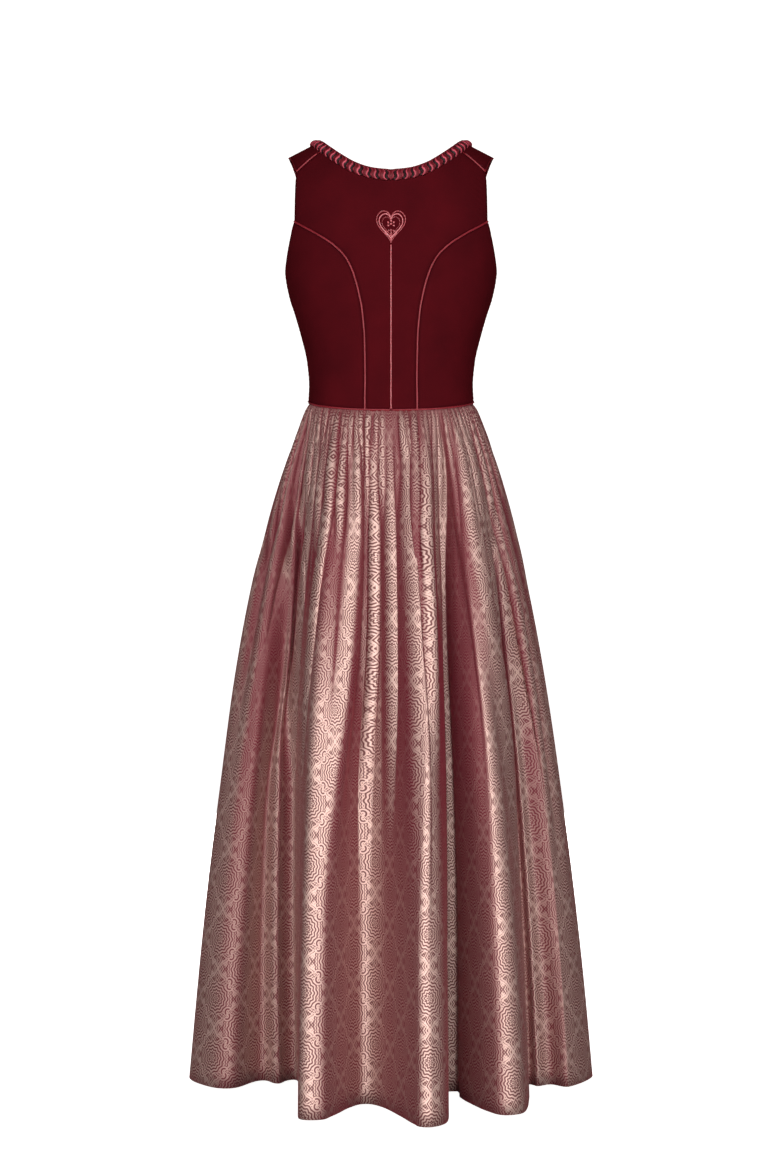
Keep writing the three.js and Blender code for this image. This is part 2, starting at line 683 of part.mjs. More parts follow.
// The skirt's smooth section at an angle from the centre back and a drop below the waist. It
// turns from the bodice's squarer section at the waist into an ellipse further down.
function skirtRing(angle, drop) {
  const power = 2 / mix(SQUARENESS, 2, smooth(drop / 200));
  const [s, c] = [Math.sin(radians(angle)), Math.cos(radians(angle))];
  const waistDepth = c > 0 ? 80.5 : 89;
  const deep = skirtDeep(drop) + (waistDepth - SKIRT_ROWS[0].deep) * (1 - smooth(drop / 300));
  return { x: skirtHalf(drop) * signedPower(s, power), y: deep * signedPower(c, power) };
}

// A closed curve through the hem's folds, sampled finely, with the waist angle and the length
// of cloth that each sample has reached.
function hemCurve() {
  const turns = [-1, 0, 1].flatMap((turn) =>
    HEM_FOLDS.map(({ x, y, waist }) => ({ x, y, waist: waist + 360 * turn })),
  );
  const knots = [0];
  turns.slice(1).forEach((p, i) => {
    knots.push(knots[i] + Math.sqrt(Math.hypot(p.x - turns[i].x, p.y - turns[i].y)));
  });
  const centred = (name) =>
    turns.map((_, i) => {
      const [a, b] = [Math.max(0, i - 1), Math.min(turns.length - 1, i + 1)];
      return (turns[b][name] - turns[a][name]) / (knots[b] - knots[a]);
    });
  const x = curveThrough(knots, column(turns, "x"), centred("x"));
  const y = curveThrough(knots, column(turns, "y"), centred("y"));
  const waist = curveThrough(knots, column(turns, "waist"));
  const fine = 3000;
  const [start, end] = [knots[HEM_FOLDS.length], knots[2 * HEM_FOLDS.length]];
  const samples = Array.from({ length: fine + 1 }, (_, i) => {
    const at = mix(start, end, i / fine);
    return { x: x(at), y: y(at), waist: waist(at), cloth: 0 };
  });
  samples.slice(1).forEach((p, i) => {
    p.cloth = samples[i].cloth + Math.hypot(p.x - samples[i].x, p.y - samples[i].y);
  });
  return samples;
}

const HEM = hemCurve();
const HEM_LENGTH = HEM[HEM.length - 1].cloth;

// The hem sample at a waist angle, with linear interpolation between the fine samples.
function threadAtColumn(order) {
  let low = 0;
  let high = HEM.length - 1;
  while (high - low > 1) {
    const middle = (low + high) >> 1;
    if (columnOrder(HEM[middle]) <= order) low = middle;
    else high = middle;
  }
  const [a, b] = [HEM[low], HEM[high]];
  const t = (order - columnOrder(a)) / (columnOrder(b) - columnOrder(a));
  return Object.fromEntries(Object.keys(a).map((key) => [key, mix(a[key], b[key], t)]));
}
function columnOrder(sample) {
  return mix(sample.waist / 360, sample.cloth / HEM_LENGTH, COLUMN_BY_CLOTH);
}
function orderAtWaist(waist) {
  const i = HEM.findIndex((sample) => sample.waist >= waist);
  return columnOrder(HEM[i]);
}

// The threads of cloth, one for each column, from the right side seam round the back and the
// front to the right side seam again.
function skirtThreads() {
  const [left, right] = [orderAtWaist(90), orderAtWaist(270)];
  const span = (from, to) =>
    Array.from({ length: SKIRT_COLUMNS }, (_, i) => {
      const order = mix(from, to, i / SKIRT_COLUMNS);
      return threadAtColumn(order >= columnOrder(HEM[HEM.length - 1]) ? order - 1 : order);
    });
  return { back: span(right, left + 1), front: span(left, right) };
}

function shortFoldRise(waist, drop) {
  let rise = 0;
  for (const fold of SHORT_FOLDS) {
    for (const turned of [0, 180]) {
      const away = ((waist - fold.waist - turned + 900) % 360) - 180;
      const crest = Math.exp(-((away / SHORT_FOLD_SPREAD) ** 2));
      const hollow = Math.exp(-((away / SHORT_FOLD_SPREAD / 2) ** 2)) / 2;
      const begin = smooth(drop / 90);
      const end = 1 - smooth((drop / fold.reach - 0.4) / 0.6);
      rise += fold.rise * (crest - hollow) * begin * end;
    }
  }
  return rise;
}

function skirtPoint(thread, drop, crest) {
  const t = drop / SIDE_DROP;
  const ring = skirtRing(thread.waist, drop);
  const hemRing = skirtRing(thread.waist, SIDE_DROP);
  const grown = t ** FOLD_GROWTH;
  const rise = shortFoldRise(thread.waist, drop) + (crest ? 1 : -1) * gatherRise(drop);
  const out = new THREE.Vector2(ring.x / skirtHalf(drop) ** 2, ring.y / skirtDeep(drop) ** 2);
  out.normalize().multiplyScalar(rise);
  const cosine = Math.cos(radians(thread.waist));
  const topZ = SIDE_WAIST_Z - (cosine > 0 ? BACK_DIP : FRONT_DIP) * Math.abs(cosine) - SEAM_GAP - REST_GAP;
  return new THREE.Vector3(
    ring.x + grown * (thread.x - hemRing.x) + out.x,
    ring.y + grown * (thread.y - hemRing.y) + out.y,
    mix(topZ, HEM_Z, t),
  );
}

// The whole skirt as a closed ring of columns, with each point's normal taken from its
// neighbours, so that both halves agree at the side seams.
function skirtGrid() {
  const threads = skirtThreads();
  const ring = [...threads.back, ...threads.front];
  const drops = column(SKIRT_ROWS, "drop");
  const points = ring.map((thread, i) => drops.map((drop) => skirtPoint(thread, drop, i % 2)));
  return points.map((line, i) => {
    const [before, after] = [points.at(i - 1), points[(i + 1) % points.length]];
    return line.map((point, j) => {
      const [above, below] = [line[Math.max(0, j - 1)], line[Math.min(line.length - 1, j + 1)]];
      const across = after[j].clone().sub(before[j]);
      return { point, normal: below.clone().sub(above).cross(across).normalize() };
    });
  });
}

function skirtWall(lines) {
  const grid = lines.map((line) => line.map(({ point, normal }) => ({ point: point.clone(), normal })));
  const pull = (from, to) => {
    from.forEach((spot, j) => {
      const way = to[j].point.clone().sub(spot.point).normalize();
      spot.point.addScaledVector(way, SKIRT_SEAM_GAP / 2);
    });
  };
  pull(grid[0], grid[1]);
  pull(grid.at(-1), grid.at(-2));
  return gridWall(grid, JACQUARD);
}

// ---------------------------------------------------------------- the dress
const velvet = new THREE.MeshStandardMaterial({ color: 0x4e0b14, roughness: 0.85, metalness: 0 });
const satin = new THREE.MeshStandardMaterial({ color: 0x8e2732, roughness: 0.5, metalness: 0 });
const beads = new THREE.MeshStandardMaterial({ color: 0xc46a70, roughness: 0.35, metalness: 0 });
const jacquard = new THREE.MeshStandardMaterial({ color: 0x9c6660, roughness: 0.5, metalness: 0.2 });

const dress = new THREE.Group();
function add(name, geometry, material) {
  const mesh = new THREE.Mesh(geometry, material);
  mesh.name = name;
  dress.add(mesh);
}

const backSeam = backRows.slice(0, BACK_NECK_ROW + 1).map((row) => row.outer);
const frontSeam = frontRows.slice(0, FRONT_SEAM_ROWS).map((row) => row.outer);
const panelWall = (rows, columns, side) =>
  gridWall(trimmed(gridPoints(gridPlaces(rows, columns), side)), VELVET);

add("bodice_back", backWall(), velvet);
for (const [hand, side] of [["left", 1], ["right", -1]]) {
  const behind = sideRows(backSeam, BACK_DIP, ARMHOLE_SCOOP.back);
  const before = sideRows(frontSeam, FRONT_DIP, ARMHOLE_SCOOP.front);
  const cord = (stops) => cordGeometry(stops, PIPING_R, CORD_SIDES, REST_GAP);
  add(`bodice_back_side_${hand}`, panelWall(behind, SIDE_COLUMNS, side), velvet);
  add(`bodice_front_side_${hand}`, panelWall(before, SIDE_COLUMNS, side), velvet);
  add(`bodice_front_${hand}`, panelWall(frontRows, FRONT_COLUMNS, side), velvet);
  add(`piping_back_${hand}`, cord(seamStops(backSeam, side)), satin);
  add(`piping_shoulder_${hand}`, cord(shoulderStops(side)), satin);
}
add("piping_waist", cordGeometry(waistStops(), WAIST_CORD_R, 5, WAIST_CORD_GAP, true), satin);
add("neck_ruche", rucheGeometry(), velvet);
add("bead_line_back", cordGeometry(beadLineStops(), BEAD_LINE_R, CORD_SIDES, REST_GAP), beads);
add("ornament_back", ornamentWall(), beads);

const skirt = skirtGrid();
add("skirt_back", skirtWall(skirt.slice(0, SKIRT_COLUMNS + 1)), jacquard);
add("skirt_front", skirtWall([...skirt.slice(SKIRT_COLUMNS), skirt[0]]), jacquard);

export default dress;
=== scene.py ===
# %% [markdown]
# # A velvet and jacquard dirndl
#
# The dress is worn and hollow. The velvet bodice is cut in panels that meet in corded seams, a
# ruched strip edges the neck, and two widths of jacquard are gathered into the waist seam.
#
# Every surface here is a formula of two parameters, worked out as a whole numpy array. Lengths
# are millimetres until they go into a mesh, which is in metres. The front faces -Y, and +X is
# the wearer's left.

# %% The frame
import bmesh
import bpy
import numpy as np
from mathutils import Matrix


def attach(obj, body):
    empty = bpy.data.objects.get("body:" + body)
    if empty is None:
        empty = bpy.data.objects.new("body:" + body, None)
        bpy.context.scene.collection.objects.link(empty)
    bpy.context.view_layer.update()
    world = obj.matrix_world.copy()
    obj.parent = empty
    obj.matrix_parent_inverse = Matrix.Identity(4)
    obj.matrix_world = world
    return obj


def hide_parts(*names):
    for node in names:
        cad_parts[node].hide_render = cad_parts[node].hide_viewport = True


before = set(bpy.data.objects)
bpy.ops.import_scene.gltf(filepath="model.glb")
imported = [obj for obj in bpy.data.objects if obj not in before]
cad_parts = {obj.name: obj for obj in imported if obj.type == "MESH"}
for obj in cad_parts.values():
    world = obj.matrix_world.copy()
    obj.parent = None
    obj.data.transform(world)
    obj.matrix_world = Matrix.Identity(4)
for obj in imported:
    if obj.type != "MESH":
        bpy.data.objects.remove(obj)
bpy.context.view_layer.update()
MM = 0.001
print("the frame has", len(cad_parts), "nodes")

# %% [markdown]
# ## Curves through a few values
#
# A pattern maker draws a curve through a few marks. The same is done with numbers: a cubic runs
# through each pair of marks, and its slope at a mark is the harmonic mean of the slopes on both
# sides, so that the curve never swings past a mark.


# %% A curve through marks
def gentle_slopes(knots, values):
    """The harmonic mean of the rises on both sides of each mark, or 0 where they disagree."""
    rise = np.diff(values) / np.diff(knots)
    before, after = rise[:-1], rise[1:]
    same = before * after > 0
    total = np.where(same, before + after, 1.0)
    inner = np.where(same, 2 * before * after / total, 0.0)
    return np.concatenate([rise[:1], inner, rise[-1:]])


def curve(knots, values, slopes=None):
    """Cubic Hermite curve: a function that takes an array of places between the marks."""
    knots, values = np.asarray(knots, float), np.asarray(values, float)
    slopes = gentle_slopes(knots, values) if slopes is None else np.asarray(slopes, float)

    def at(place):
        place = np.clip(place, knots[0], knots[-1])
        i = np.clip(np.searchsorted(knots, place, side="right") - 1, 0, len(knots) - 2)
        width = knots[i + 1] - knots[i]
        t = (place - knots[i]) / width
        return (
            values[i] * (1 + 2 * t) * (1 - t) ** 2
            + slopes[i] * width * t * (1 - t) ** 2
            + values[i + 1] * t * t * (3 - 2 * t)
            + slopes[i + 1] * width * t * t * (t - 1)
        )

    return at


def smooth(t):
    """3t^2 - 2t^3 between 0 and 1, and flat outside."""
    t = np.clip(t, 0.0, 1.0)
    return t * t * (3 - 2 * t)


def signed_power(v, p):
    """|v| to the power p, with the sign of v."""
    return np.sign(v) * np.abs(v) ** p


def unit(way):
    """Vectors of length 1 that point the same ways."""
    return way / (np.linalg.norm(way, axis=-1, keepdims=True) + 1e-9)


def directions(points):
    """Unit directions along a line of points."""
    return unit(np.gradient(points, axis=0))


def run(points):
    """The length along a line of points, from 0 at its start to each of them."""
    step = np.linalg.norm(np.diff(points, axis=0), axis=-1)
    return np.concatenate([[0], np.cumsum(step)])


def evenly(line, pitch):
    """Points about a pitch apart along a line of points, end to end."""
    length = run(line)
    at = np.linspace(0, length[-1], max(2, int(round(length[-1] / pitch)) + 1))
    return np.stack([np.interp(at, length, part) for part in line.T], axis=-1)


print("half way between two marks:", round(float(curve([0, 1, 2], [0, 4, 5])(1.5)), 2))

# %% [markdown]
# ## From arrays to meshes
#
# A grid of points with rows and columns becomes quads by numbering: the corners of a quad are
# its own number, the next one in the row, and the two in the row below. A panel made of two
# halves is two grids whose shared edge is merged. The sign of the volume that the faces sweep
# about the dress's axis tells whether they point out.


# %% Grids into a mesh
def grid_faces(rows, columns, first=0):
    """Quads of a grid whose points are numbered row by row from first."""
    number = first + np.arange(rows * columns).reshape(rows, columns)
    corners = (number[:-1, :-1], number[:-1, 1:], number[1:, 1:], number[1:, :-1])
    return np.stack(corners, axis=-1).reshape(-1, 4)


def new_mesh(name, points, faces, uv=None, marks=None, merge=0.0, closed=False):
    """One object from points in millimetres and faces of equal length. marks are values that
    its material reads, one for each point. Points nearer than merge become one, and a closed
    shape then has its faces turned out."""
    mesh = bpy.data.meshes.new(name)
    sides = faces.shape[1]
    mesh.vertices.add(len(points))
    mesh.vertices.foreach_set("co", (points * MM).astype(np.float32).ravel())
    mesh.loops.add(faces.size)
    mesh.loops.foreach_set("vertex_index", faces.astype(np.int32).ravel())
    mesh.polygons.add(len(faces))
    mesh.polygons.foreach_set("loop_start", np.arange(0, faces.size, sides, dtype=np.int32))
    if uv is not None:
        layer = mesh.uv_layers.new(name="cloth")
        layer.data.foreach_set("uv", uv[faces].astype(np.float32).ravel())
    for key, value in (marks or {}).items():
        layer = mesh.attributes.new(key, "FLOAT", "POINT")
        layer.data.foreach_set("value", value.astype(np.float32).ravel())
    mesh.update(calc_edges=True)
    mesh.validate()
    if merge or closed:
        shape = bmesh.new()
        shape.from_mesh(mesh)
        if merge:
            bmesh.ops.remove_doubles(shape, verts=shape.verts, dist=merge * MM)
        if closed:
            bmesh.ops.recalc_face_normals(shape, faces=shape.faces)
        shape.to_mesh(mesh)
        shape.free()
    mesh.polygons.foreach_set("use_smooth", np.ones(len(mesh.polygons), dtype=bool))
    obj = bpy.data.objects.new(name, mesh)
    bpy.context.scene.collection.objects.link(obj)
    return obj


def outward_order(grid):
    """The order of a grid's columns in which its faces look away from the dress's axis."""
    down = np.diff(grid, axis=0)[:, :-1]
    along = np.diff(grid, axis=1)[:-1]
    away = grid[:-1, :-1] * np.array([1.0, 1.0, 0.0])
    faces_out = (np.cross(along, down) * away).sum() > 0
    return slice(None) if faces_out else slice(None, None, -1)


def thicken(obj, thickness):
    """Gives a sheet its wall, half of it on each side."""
    wall = obj.modifiers.new("wall", "SOLIDIFY")
    wall.thickness = thickness * MM
    wall.offset = 0.0
    return obj


print("a grid of 3 by 4 points has", len(grid_faces(3, 4)), "faces")

# %% [markdown]
# ## Shader maths as Python
#
# A wrapped socket makes `a * b + 1` add its own Math nodes. Everything else, such as a noise or
# a colour mix, comes from one method that names the node, its settings and its sockets.


# %% A number that varies
class Wire:
    """A number that varies over a surface, held as the output socket of a node."""

    def __init__(self, bench, socket):
        self.bench, self.socket = bench, socket

    def _do(self, operation, *values):
        return self.bench.node("Math", {"operation": operation}, *values)

    def __add__(self, other):
        return self._do("ADD", self, other)

    def __sub__(self, other):
        return self._do("SUBTRACT", self, other)

    def __rsub__(self, other):
        return self._do("SUBTRACT", other, self)

    def __mul__(self, other):
        return self._do("MULTIPLY", self, other)

    def __pow__(self, other):
        return self._do("POWER", self, other)

    def __abs__(self):
        return self._do("ABSOLUTE", self)

    __radd__, __rmul__ = __add__, __mul__

    def cos(self):
        return self._do("COSINE", self)

    def sin(self):
        return self._do("SINE", self)

    def angle(self, across):
        """The angle of the point (across, self)."""
        return self._do("ARCTAN2", self, across)

    def wrap(self, low, high):
        """The value moved by whole periods until it lies between low and high."""
        return self._do("WRAP", self, high, low)

    def towards(self, other, share):
        """The value moved a varying share of the way to another."""
        return self + (other - self) * share

    def below(self, edge, blur):
        """1 where the value is under edge and 0 above it, with a soft step of width blur."""
        ends = {"From Min": edge - blur / 2, "From Max": edge + blur / 2}
        settings = {"interpolation_type": "SMOOTHSTEP"}
        return self.bench.node("MapRange", settings, self, **ends, **{"To Min": 1.0, "To Max": 0.0})


print("a wire can", ", ".join(word for word in vars(Wire) if not word.startswith("_")))


# %% A material being made
class Bench:
    """One material on the bench: it makes nodes and joins them."""

    def __init__(self, name):
        self.material = bpy.data.materials.new(name)
        self.material.use_nodes = True
        self.tree = self.material.node_tree
        self.tree.nodes.clear()

    def set(self, socket, value):
        """Joins a wire to a socket, or writes a constant on it."""
        if isinstance(value, Wire):
            self.tree.links.new(value.socket, socket)
        else:
            socket.default_value = value

    def node(self, kind, settings=None, *values, out=0, **sockets):
        """Adds a node: its settings first, then its sockets by order or by name."""
        made = self.tree.nodes.new("ShaderNode" + kind)
        for key, value in (settings or {}).items():
            setattr(made, key, value)
        for key, value in (*enumerate(values), *sockets.items()):
            self.set(made.inputs[key], value)
        return Wire(self, made.outputs[out])

    def mix(self, factor, one, two):
        """A colour between two, where factor is a number that varies. The colour sockets of a
        Mix node are its 7th and 8th, and its colour comes out third."""
        made = self.tree.nodes.new("ShaderNodeMix")
        made.data_type = "RGBA"
        for slot, value in ((0, factor), (6, one), (7, two)):
            self.set(made.inputs[slot], value)
        return Wire(self, made.outputs[2])

    def place(self):
        """The place on the piece in metres."""
        return self.node("TexCoord", out="Object")

    def mark(self, name):
        """A value that the mesh keeps at its points."""
        return self.node("Attribute", {"attribute_name": name}, out="Fac")

    def noise(self, scale, detail=2.0):
        """A cloud of values about a half, with scale patches to a metre."""
        return self.node("TexNoise", Vector=self.place(), Scale=scale, Detail=detail)

    def bump(self, height, strength, distance):
        """The normal of a surface with a varying height."""
        return self.node("Bump", Height=height, Strength=strength, Distance=distance)

    def surface(self, base, roughness, **more):
        """The Principled shader. Its other sockets are named with _ for a space."""
        named = {key.replace("_", " "): value for key, value in more.items()}
        return self.node("BsdfPrincipled", **{"Base Color": base, "Roughness": roughness}, **named)

    def finish(self, shader):
        """Hands the shader over and gives back the material."""
        out = self.tree.nodes.new("ShaderNodeOutputMaterial")
        self.tree.links.new(shader.socket, out.inputs["Surface"])
        return self.material


def colour(red, green, blue):
    """A colour given in screen values from 0 to 255, turned into light."""
    share = np.array([red, green, blue]) / 255
    light = np.where(share < 0.04045, share / 12.92, ((share + 0.055) / 1.055) ** 2.4)
    return (*light.tolist(), 1.0)


print("screen grey 128 gives", round(colour(128, 128, 128)[0], 3), "of the light")

# %% [markdown]
# ## The figure under the bodice
#
# A fitted bodice takes its form from the figure. Each level section is a superellipse, a little
# squarer than an ellipse, whose half breadth and reach follow a short table of heights. Above
# the shoulder blades the sections curve over, so that the cloth closes on the shoulder ridge. A
# place on the cloth is (tau, path): tau is 0 at the centre line and 90 at the side seam, and
# path is the height, negative in front and positive behind.

# %% The bodice's surface
SQUARENESS = 2.3
DOME_Z = -110.0
SIDE_WAIST_Z = -380.0
RIDGE_X = 109.0
RIDGE_SLOPE = 0.5
SECTION_Z = [-398, -380, -355, -320, -285, -250, -225, -196, -150, -110]
SECTION_HALF = [120, 120, 119, 122, 130, 140, 148, 153.5, 157, 158]
SECTION_BACK = [80, 80.5, 82, 87, 93, 97.5, 100, 101, 100.5, 98]
SECTION_FRONT = [88, 89, 92, 101, 114, 127, 131, 126, 113.5, 106]
CUP_TAU, CUP_Z, CUP_RISE, CUP_SPREAD, CUP_TALL = 40.0, -230.0, 12.0, 24.0, 42.0


def section_curve(values):
    """A size against height, level where the curve over the shoulder begins."""
    slopes = gentle_slopes(np.array(SECTION_Z, float), np.array(values, float))
    slopes[-1] = 0.0
    return curve(SECTION_Z, values, slopes)


half_width = section_curve(SECTION_HALF)
back_reach = section_curve(SECTION_BACK)
front_reach = section_curve(SECTION_FRONT)


def worn(tau, path):
    """Points of places: x is the half width times sin(tau)^(2/n), y the reach times
    cos(tau)^(2/n), both shrinking with the cosine of the lift over the shoulder."""
    height = -np.abs(path)
    level = np.minimum(height, DOME_Z)
    lift = np.where(height > DOME_Z, np.pi / 2 * (1 - height / DOME_Z), 0.0)
    across = signed_power(np.sin(np.radians(tau)), 2 / SQUARENESS)
    depth = signed_power(np.cos(np.radians(tau)), 2 / SQUARENESS)
    x = half_width(level) * across
    over_tau, over_z = (tau - CUP_TAU) / CUP_SPREAD, (level - CUP_Z) / CUP_TALL
    cup = CUP_RISE * np.exp(-(over_tau**2) - over_z**2)
    y = np.where(path > 0, back_reach(level) * depth, -(front_reach(level) * depth + cup))
    ridge = -RIDGE_SLOPE * (x - RIDGE_X)
    z = np.where(lift > 0, DOME_Z + (ridge - DOME_Z) * np.sin(lift), height)
    return np.stack([x, y * np.cos(lift), z], axis=-1)


def tau_at(x, z):
    """The tau of half breadth x at height z: arcsin((x / half width) ^ (n / 2))."""
    share = np.clip(x / half_width(np.minimum(z, DOME_Z)), 0, 1)
    return np.degrees(np.arcsin(share ** (SQUARENESS / 2)))


def on_back(x, z):
    """The place on the back at half breadth x and height z."""
    x, z = np.asarray(x, float), np.asarray(z, float)
    share = np.clip((z - DOME_Z) / (-RIDGE_SLOPE * (x - RIDGE_X) - DOME_Z), 0, 1)
    path = np.where(z <= DOME_Z, -z, -DOME_Z * (1 - np.degrees(np.arcsin(share)) / 90))
    return np.stack([tau_at(x, z), path], axis=-1)


def on_front(x, z):
    """The place on the front at half breadth x and height z."""
    return on_back(x, z) * np.array([1.0, -1.0])


def over_shoulder(x, lift):
    """The place that is lift degrees up the curve from the front, where 90 is the ridge."""
    x, lift = np.asarray(x, float), np.asarray(lift, float)
    return np.stack([tau_at(x, DOME_Z), DOME_Z * (1 - lift / 90)], axis=-1)


print("the waist is", round(2 * float(half_width(SIDE_WAIST_Z))), "mm wide")

# %% [markdown]
# ## The pattern pieces
#
# Each half of the pattern is a table of rows that run from the centre line, or from the
# neckline, out to a seam or the armhole. The back is one piece from shoulder seam to waist, and
# the front straps pass over the shoulder and meet it behind the ridge. Between the princess
# seam and the side seam lies a side panel, whose upper rows hollow out into the armhole.

# %% Rows of the pattern
UNDERARM_Z = -192.0
BACK_DIP, FRONT_DIP = 17.5, 10.0
BACK_SCOOP, FRONT_SCOOP = 14.0, 16.0

BACK_INNER = on_back(
    [0, 0, 0, 0, 0, 0, 0, 0, 0, 0, 0, 30, 52, 71, 83, 92],
    [-397.5, -352, -316, -283, -253, -224, -195, -165, -128, -88, -53, -49, -40.5, -28, -18.5, -10.5],
)
BACK_OUTER = on_back(
    [37.5, 37, 37.4, 38.4, 41.2, 46.3, 54, 65.3, 82.5, 106.5, 139.8, 139.6, 139.3, 138.8, 138, 137],
    [-396.8, -352, -316, -283, -254, -227, -200, -177, -159, -142, -120, -104, -88, -73, -60, -48],
)
BACK_NECK_ROW = 10
FRONT_INNER_LOW = on_front(
    [0, 0, 0, 0, 0, 0, 0, 0, 34, 58, 72, 81],
    [-390, -350, -312, -277, -246, -217, -192, -170, -165, -151, -137, -121],
)
FRONT_OUTER_LOW = on_front(
    [50, 52, 60, 73, 84, 93, 103, 114, 124, 133, 132.4, 132],
    [-389, -350, -312, -277, -248, -222, -195, -170, -149, -130, -121, -110],
)
STRAP_INNER = over_shoulder([87, 95, 101, 105, 107, 107, 102], [2, 18, 37, 57, 76, 92, 107])
STRAP_OUTER = over_shoulder([132.5, 135, 139, 145, 149.5, 151, 146], [10, 24, 40, 59, 77, 93, 114])
FRONT_NECK_ROW = 7
FRONT_SEAM_ROWS = 10
FRONT_INNER = np.concatenate([FRONT_INNER_LOW, STRAP_INNER, BACK_INNER[-1:]])
FRONT_OUTER = np.concatenate([FRONT_OUTER_LOW, STRAP_OUTER, BACK_OUTER[-1:]])


def edge_curve(places):
    """A smooth edge through places: a function from row numbers to places."""
    rows = np.arange(len(places))
    tau, path = curve(rows, places[:, 0]), curve(rows, places[:, 1])
    return lambda row: np.stack([tau(row), path(row)], axis=-1)


def panel_places(inner, outer, rows, columns, bow=None):
    """Places of a panel: straight in (tau, path) between its two edges, with its upper rows
    bowed down by bow * (row share)^3 * 4u(1-u)."""
    row = np.linspace(0, len(inner) - 1, rows)
    u = np.linspace(0, 1, columns)[None, :, None]
    places = edge_curve(inner)(row)[:, None] * (1 - u) + edge_curve(outer)(row)[:, None] * u
    if bow is not None:
        share = (row / (len(inner) - 1))[:, None]
        places[..., 1] += bow * share**3 * 4 * u[..., 0] * (1 - u[..., 0])
    return places


def side_seam(seam):
    """The side seam beside a princess seam: tau 90, from the waist up to the underarm."""
    share = np.linspace(0, 1, len(seam))
    height = SIDE_WAIST_Z * (1 - share) + UNDERARM_Z * share
    return np.stack([np.full(len(seam), 90.0), np.sign(seam[0, 1]) * -height], axis=-1)


BACK_SEAM = BACK_OUTER[: BACK_NECK_ROW + 1]
FRONT_SEAM = FRONT_OUTER[:FRONT_SEAM_ROWS]
print("the back panel has", len(BACK_INNER), "rows, the front", len(FRONT_INNER))

# %% [markdown]
# ## Velvet panels with sewn edges
#
# A seam isn't flat: the cloth sinks towards the stitches and swells a little beside them, and
# the stitches draw in fine short puckers. Each panel's points move along their normals by
# those amounts, from their distance to the panel's edges. The same distance is kept as a mark,
# for a painted sheen along a turned edge and painted shade in the dip beside it.

# %% Sewing a panel
HANDS = (("left", 1), ("right", -1))
VELVET = 2.0
SEAM_HALF_GAP = 0.2
SINK, SINK_WIDTH = 0.9, 3.0
SWELL, SWELL_WIDTH = 0.5, 9.0
PUCKER, PUCKER_PITCH = 0.16, 7.0
FAR = 99.0


def normals_of(grid):
    """Unit normals from differences along rows and columns, pointing away from the axis."""
    down = np.gradient(grid, axis=0)
    along = np.gradient(grid, axis=1)
    normal = unit(np.cross(along, down))
    away = np.concatenate([grid[..., :2], np.maximum(grid[..., 2:] - DOME_Z, 0)], axis=-1)
    return normal * np.where((normal * away).sum(axis=-1, keepdims=True) < 0, -1.0, 1.0)


def reach_along(grid, axis):
    """Distance along the grid lines from each of their two ends."""
    step = np.linalg.norm(np.diff(grid, axis=axis), axis=-1)
    start = np.zeros(grid.shape[:2])
    length = np.cumsum(step, axis=axis)
    if axis == 1:
        start[:, 1:] = length
        return start, start[:, -1:] - start
    start[1:] = length
    return start, start[-1:] - start


def sewn(grid, seams):
    """Moves a panel's points for its seams: -sink exp(-(d / w)^2) at the stitches and
    (swell + pucker) (d / s) exp(1 - d / s) beside them. seams has a word for its inner, outer,
    bottom and top edge: True for a seam, False for a free edge and None for no edge. Returns
    the points and their distance from the nearest edge."""
    ends = [*reach_along(grid, 1), *reach_along(grid, 0)]
    normal = normals_of(grid)
    move = np.zeros(grid.shape[:2])
    for distance, along, seam in zip(ends, (ends[2], ends[2], ends[0], ends[0]), seams):
        if seam:
            pucker = PUCKER * np.sin(2 * np.pi * along / PUCKER_PITCH + 2 * np.sin(along / 23))
            beside = distance / SWELL_WIDTH
            move += -SINK * np.exp(-((distance / SINK_WIDTH) ** 2))
            move += (SWELL + pucker) * beside * np.exp(1 - beside)
    edges = [np.full_like(end, FAR) if seam is None else end for end, seam in zip(ends, seams)]
    return grid + normal * move[..., None], np.minimum.reduce(edges)


def drawn_in(grid, gap=SEAM_HALF_GAP):
    """Pulls the outer rows and columns in, so that two panels never touch."""
    out = grid.copy()
    rows = (((0,), (1,)), ((-1,), (-2,)))
    columns = (((slice(None), a), (slice(None), b)) for a, b in ((0, 1), (-1, -2)))
    for index, inside in (*rows, *columns):
        out[index] += gap * unit(grid[inside] - grid[index])
    return out


def velvet_panel(name, places, seams, sides, merge=0.0):
    """A panel, or both mirrored halves of one joined by merging, as a wall of velvet."""
    grid, edge = sewn(worn(places[..., 0], places[..., 1]), seams)
    grid = grid if merge else drawn_in(grid)
    uv = np.stack([reach_along(grid, 1)[0], reach_along(grid, 0)[0]], axis=-1) * MM
    halves = []
    for side in sides:
        half = grid * np.array([side, 1, 1])
        order = outward_order(half)
        flat = (uv * np.array([side, 1]))[:, order].reshape(-1, 2)
        faces = grid_faces(*edge.shape, first=len(halves) * edge.size)
        halves.append((half[:, order].reshape(-1, 3), faces, flat, edge[:, order].ravel()))
    points, faces, flat, marks = (np.concatenate(part) for part in zip(*halves))
    return thicken(new_mesh(name, points, faces, flat, {"edge": marks}, merge), VELVET)


print("stitches draw the velvet in by", SINK, "mm")

# %% The velvet bodice
BOTH_SEAMS = (True, True, False, False)
panels = {
    "front": (panel_places(FRONT_INNER, FRONT_OUTER, 131, 30), (False, False, False, True)),
    "back_side": (panel_places(BACK_SEAM, side_seam(BACK_SEAM), 90, 40, BACK_SCOOP), BOTH_SEAMS),
    "front_side": (panel_places(FRONT_SEAM, side_seam(FRONT_SEAM), 90, 36, -FRONT_SCOOP), BOTH_SEAMS),
}
back_places = panel_places(BACK_INNER, BACK_OUTER, 121, 36)
bodice = {"bodice_back": velvet_panel("velvet_back", back_places, (None, True, False, True), (1, -1), 0.02)}
for hand, side in HANDS:
    for name, (places, seams) in panels.items():
        panel = velvet_panel(f"velvet_{name}_{hand}", places, seams, (side,))
        bodice[f"bodice_{name}_{hand}"] = panel
print("velvet panels:", len(bodice))

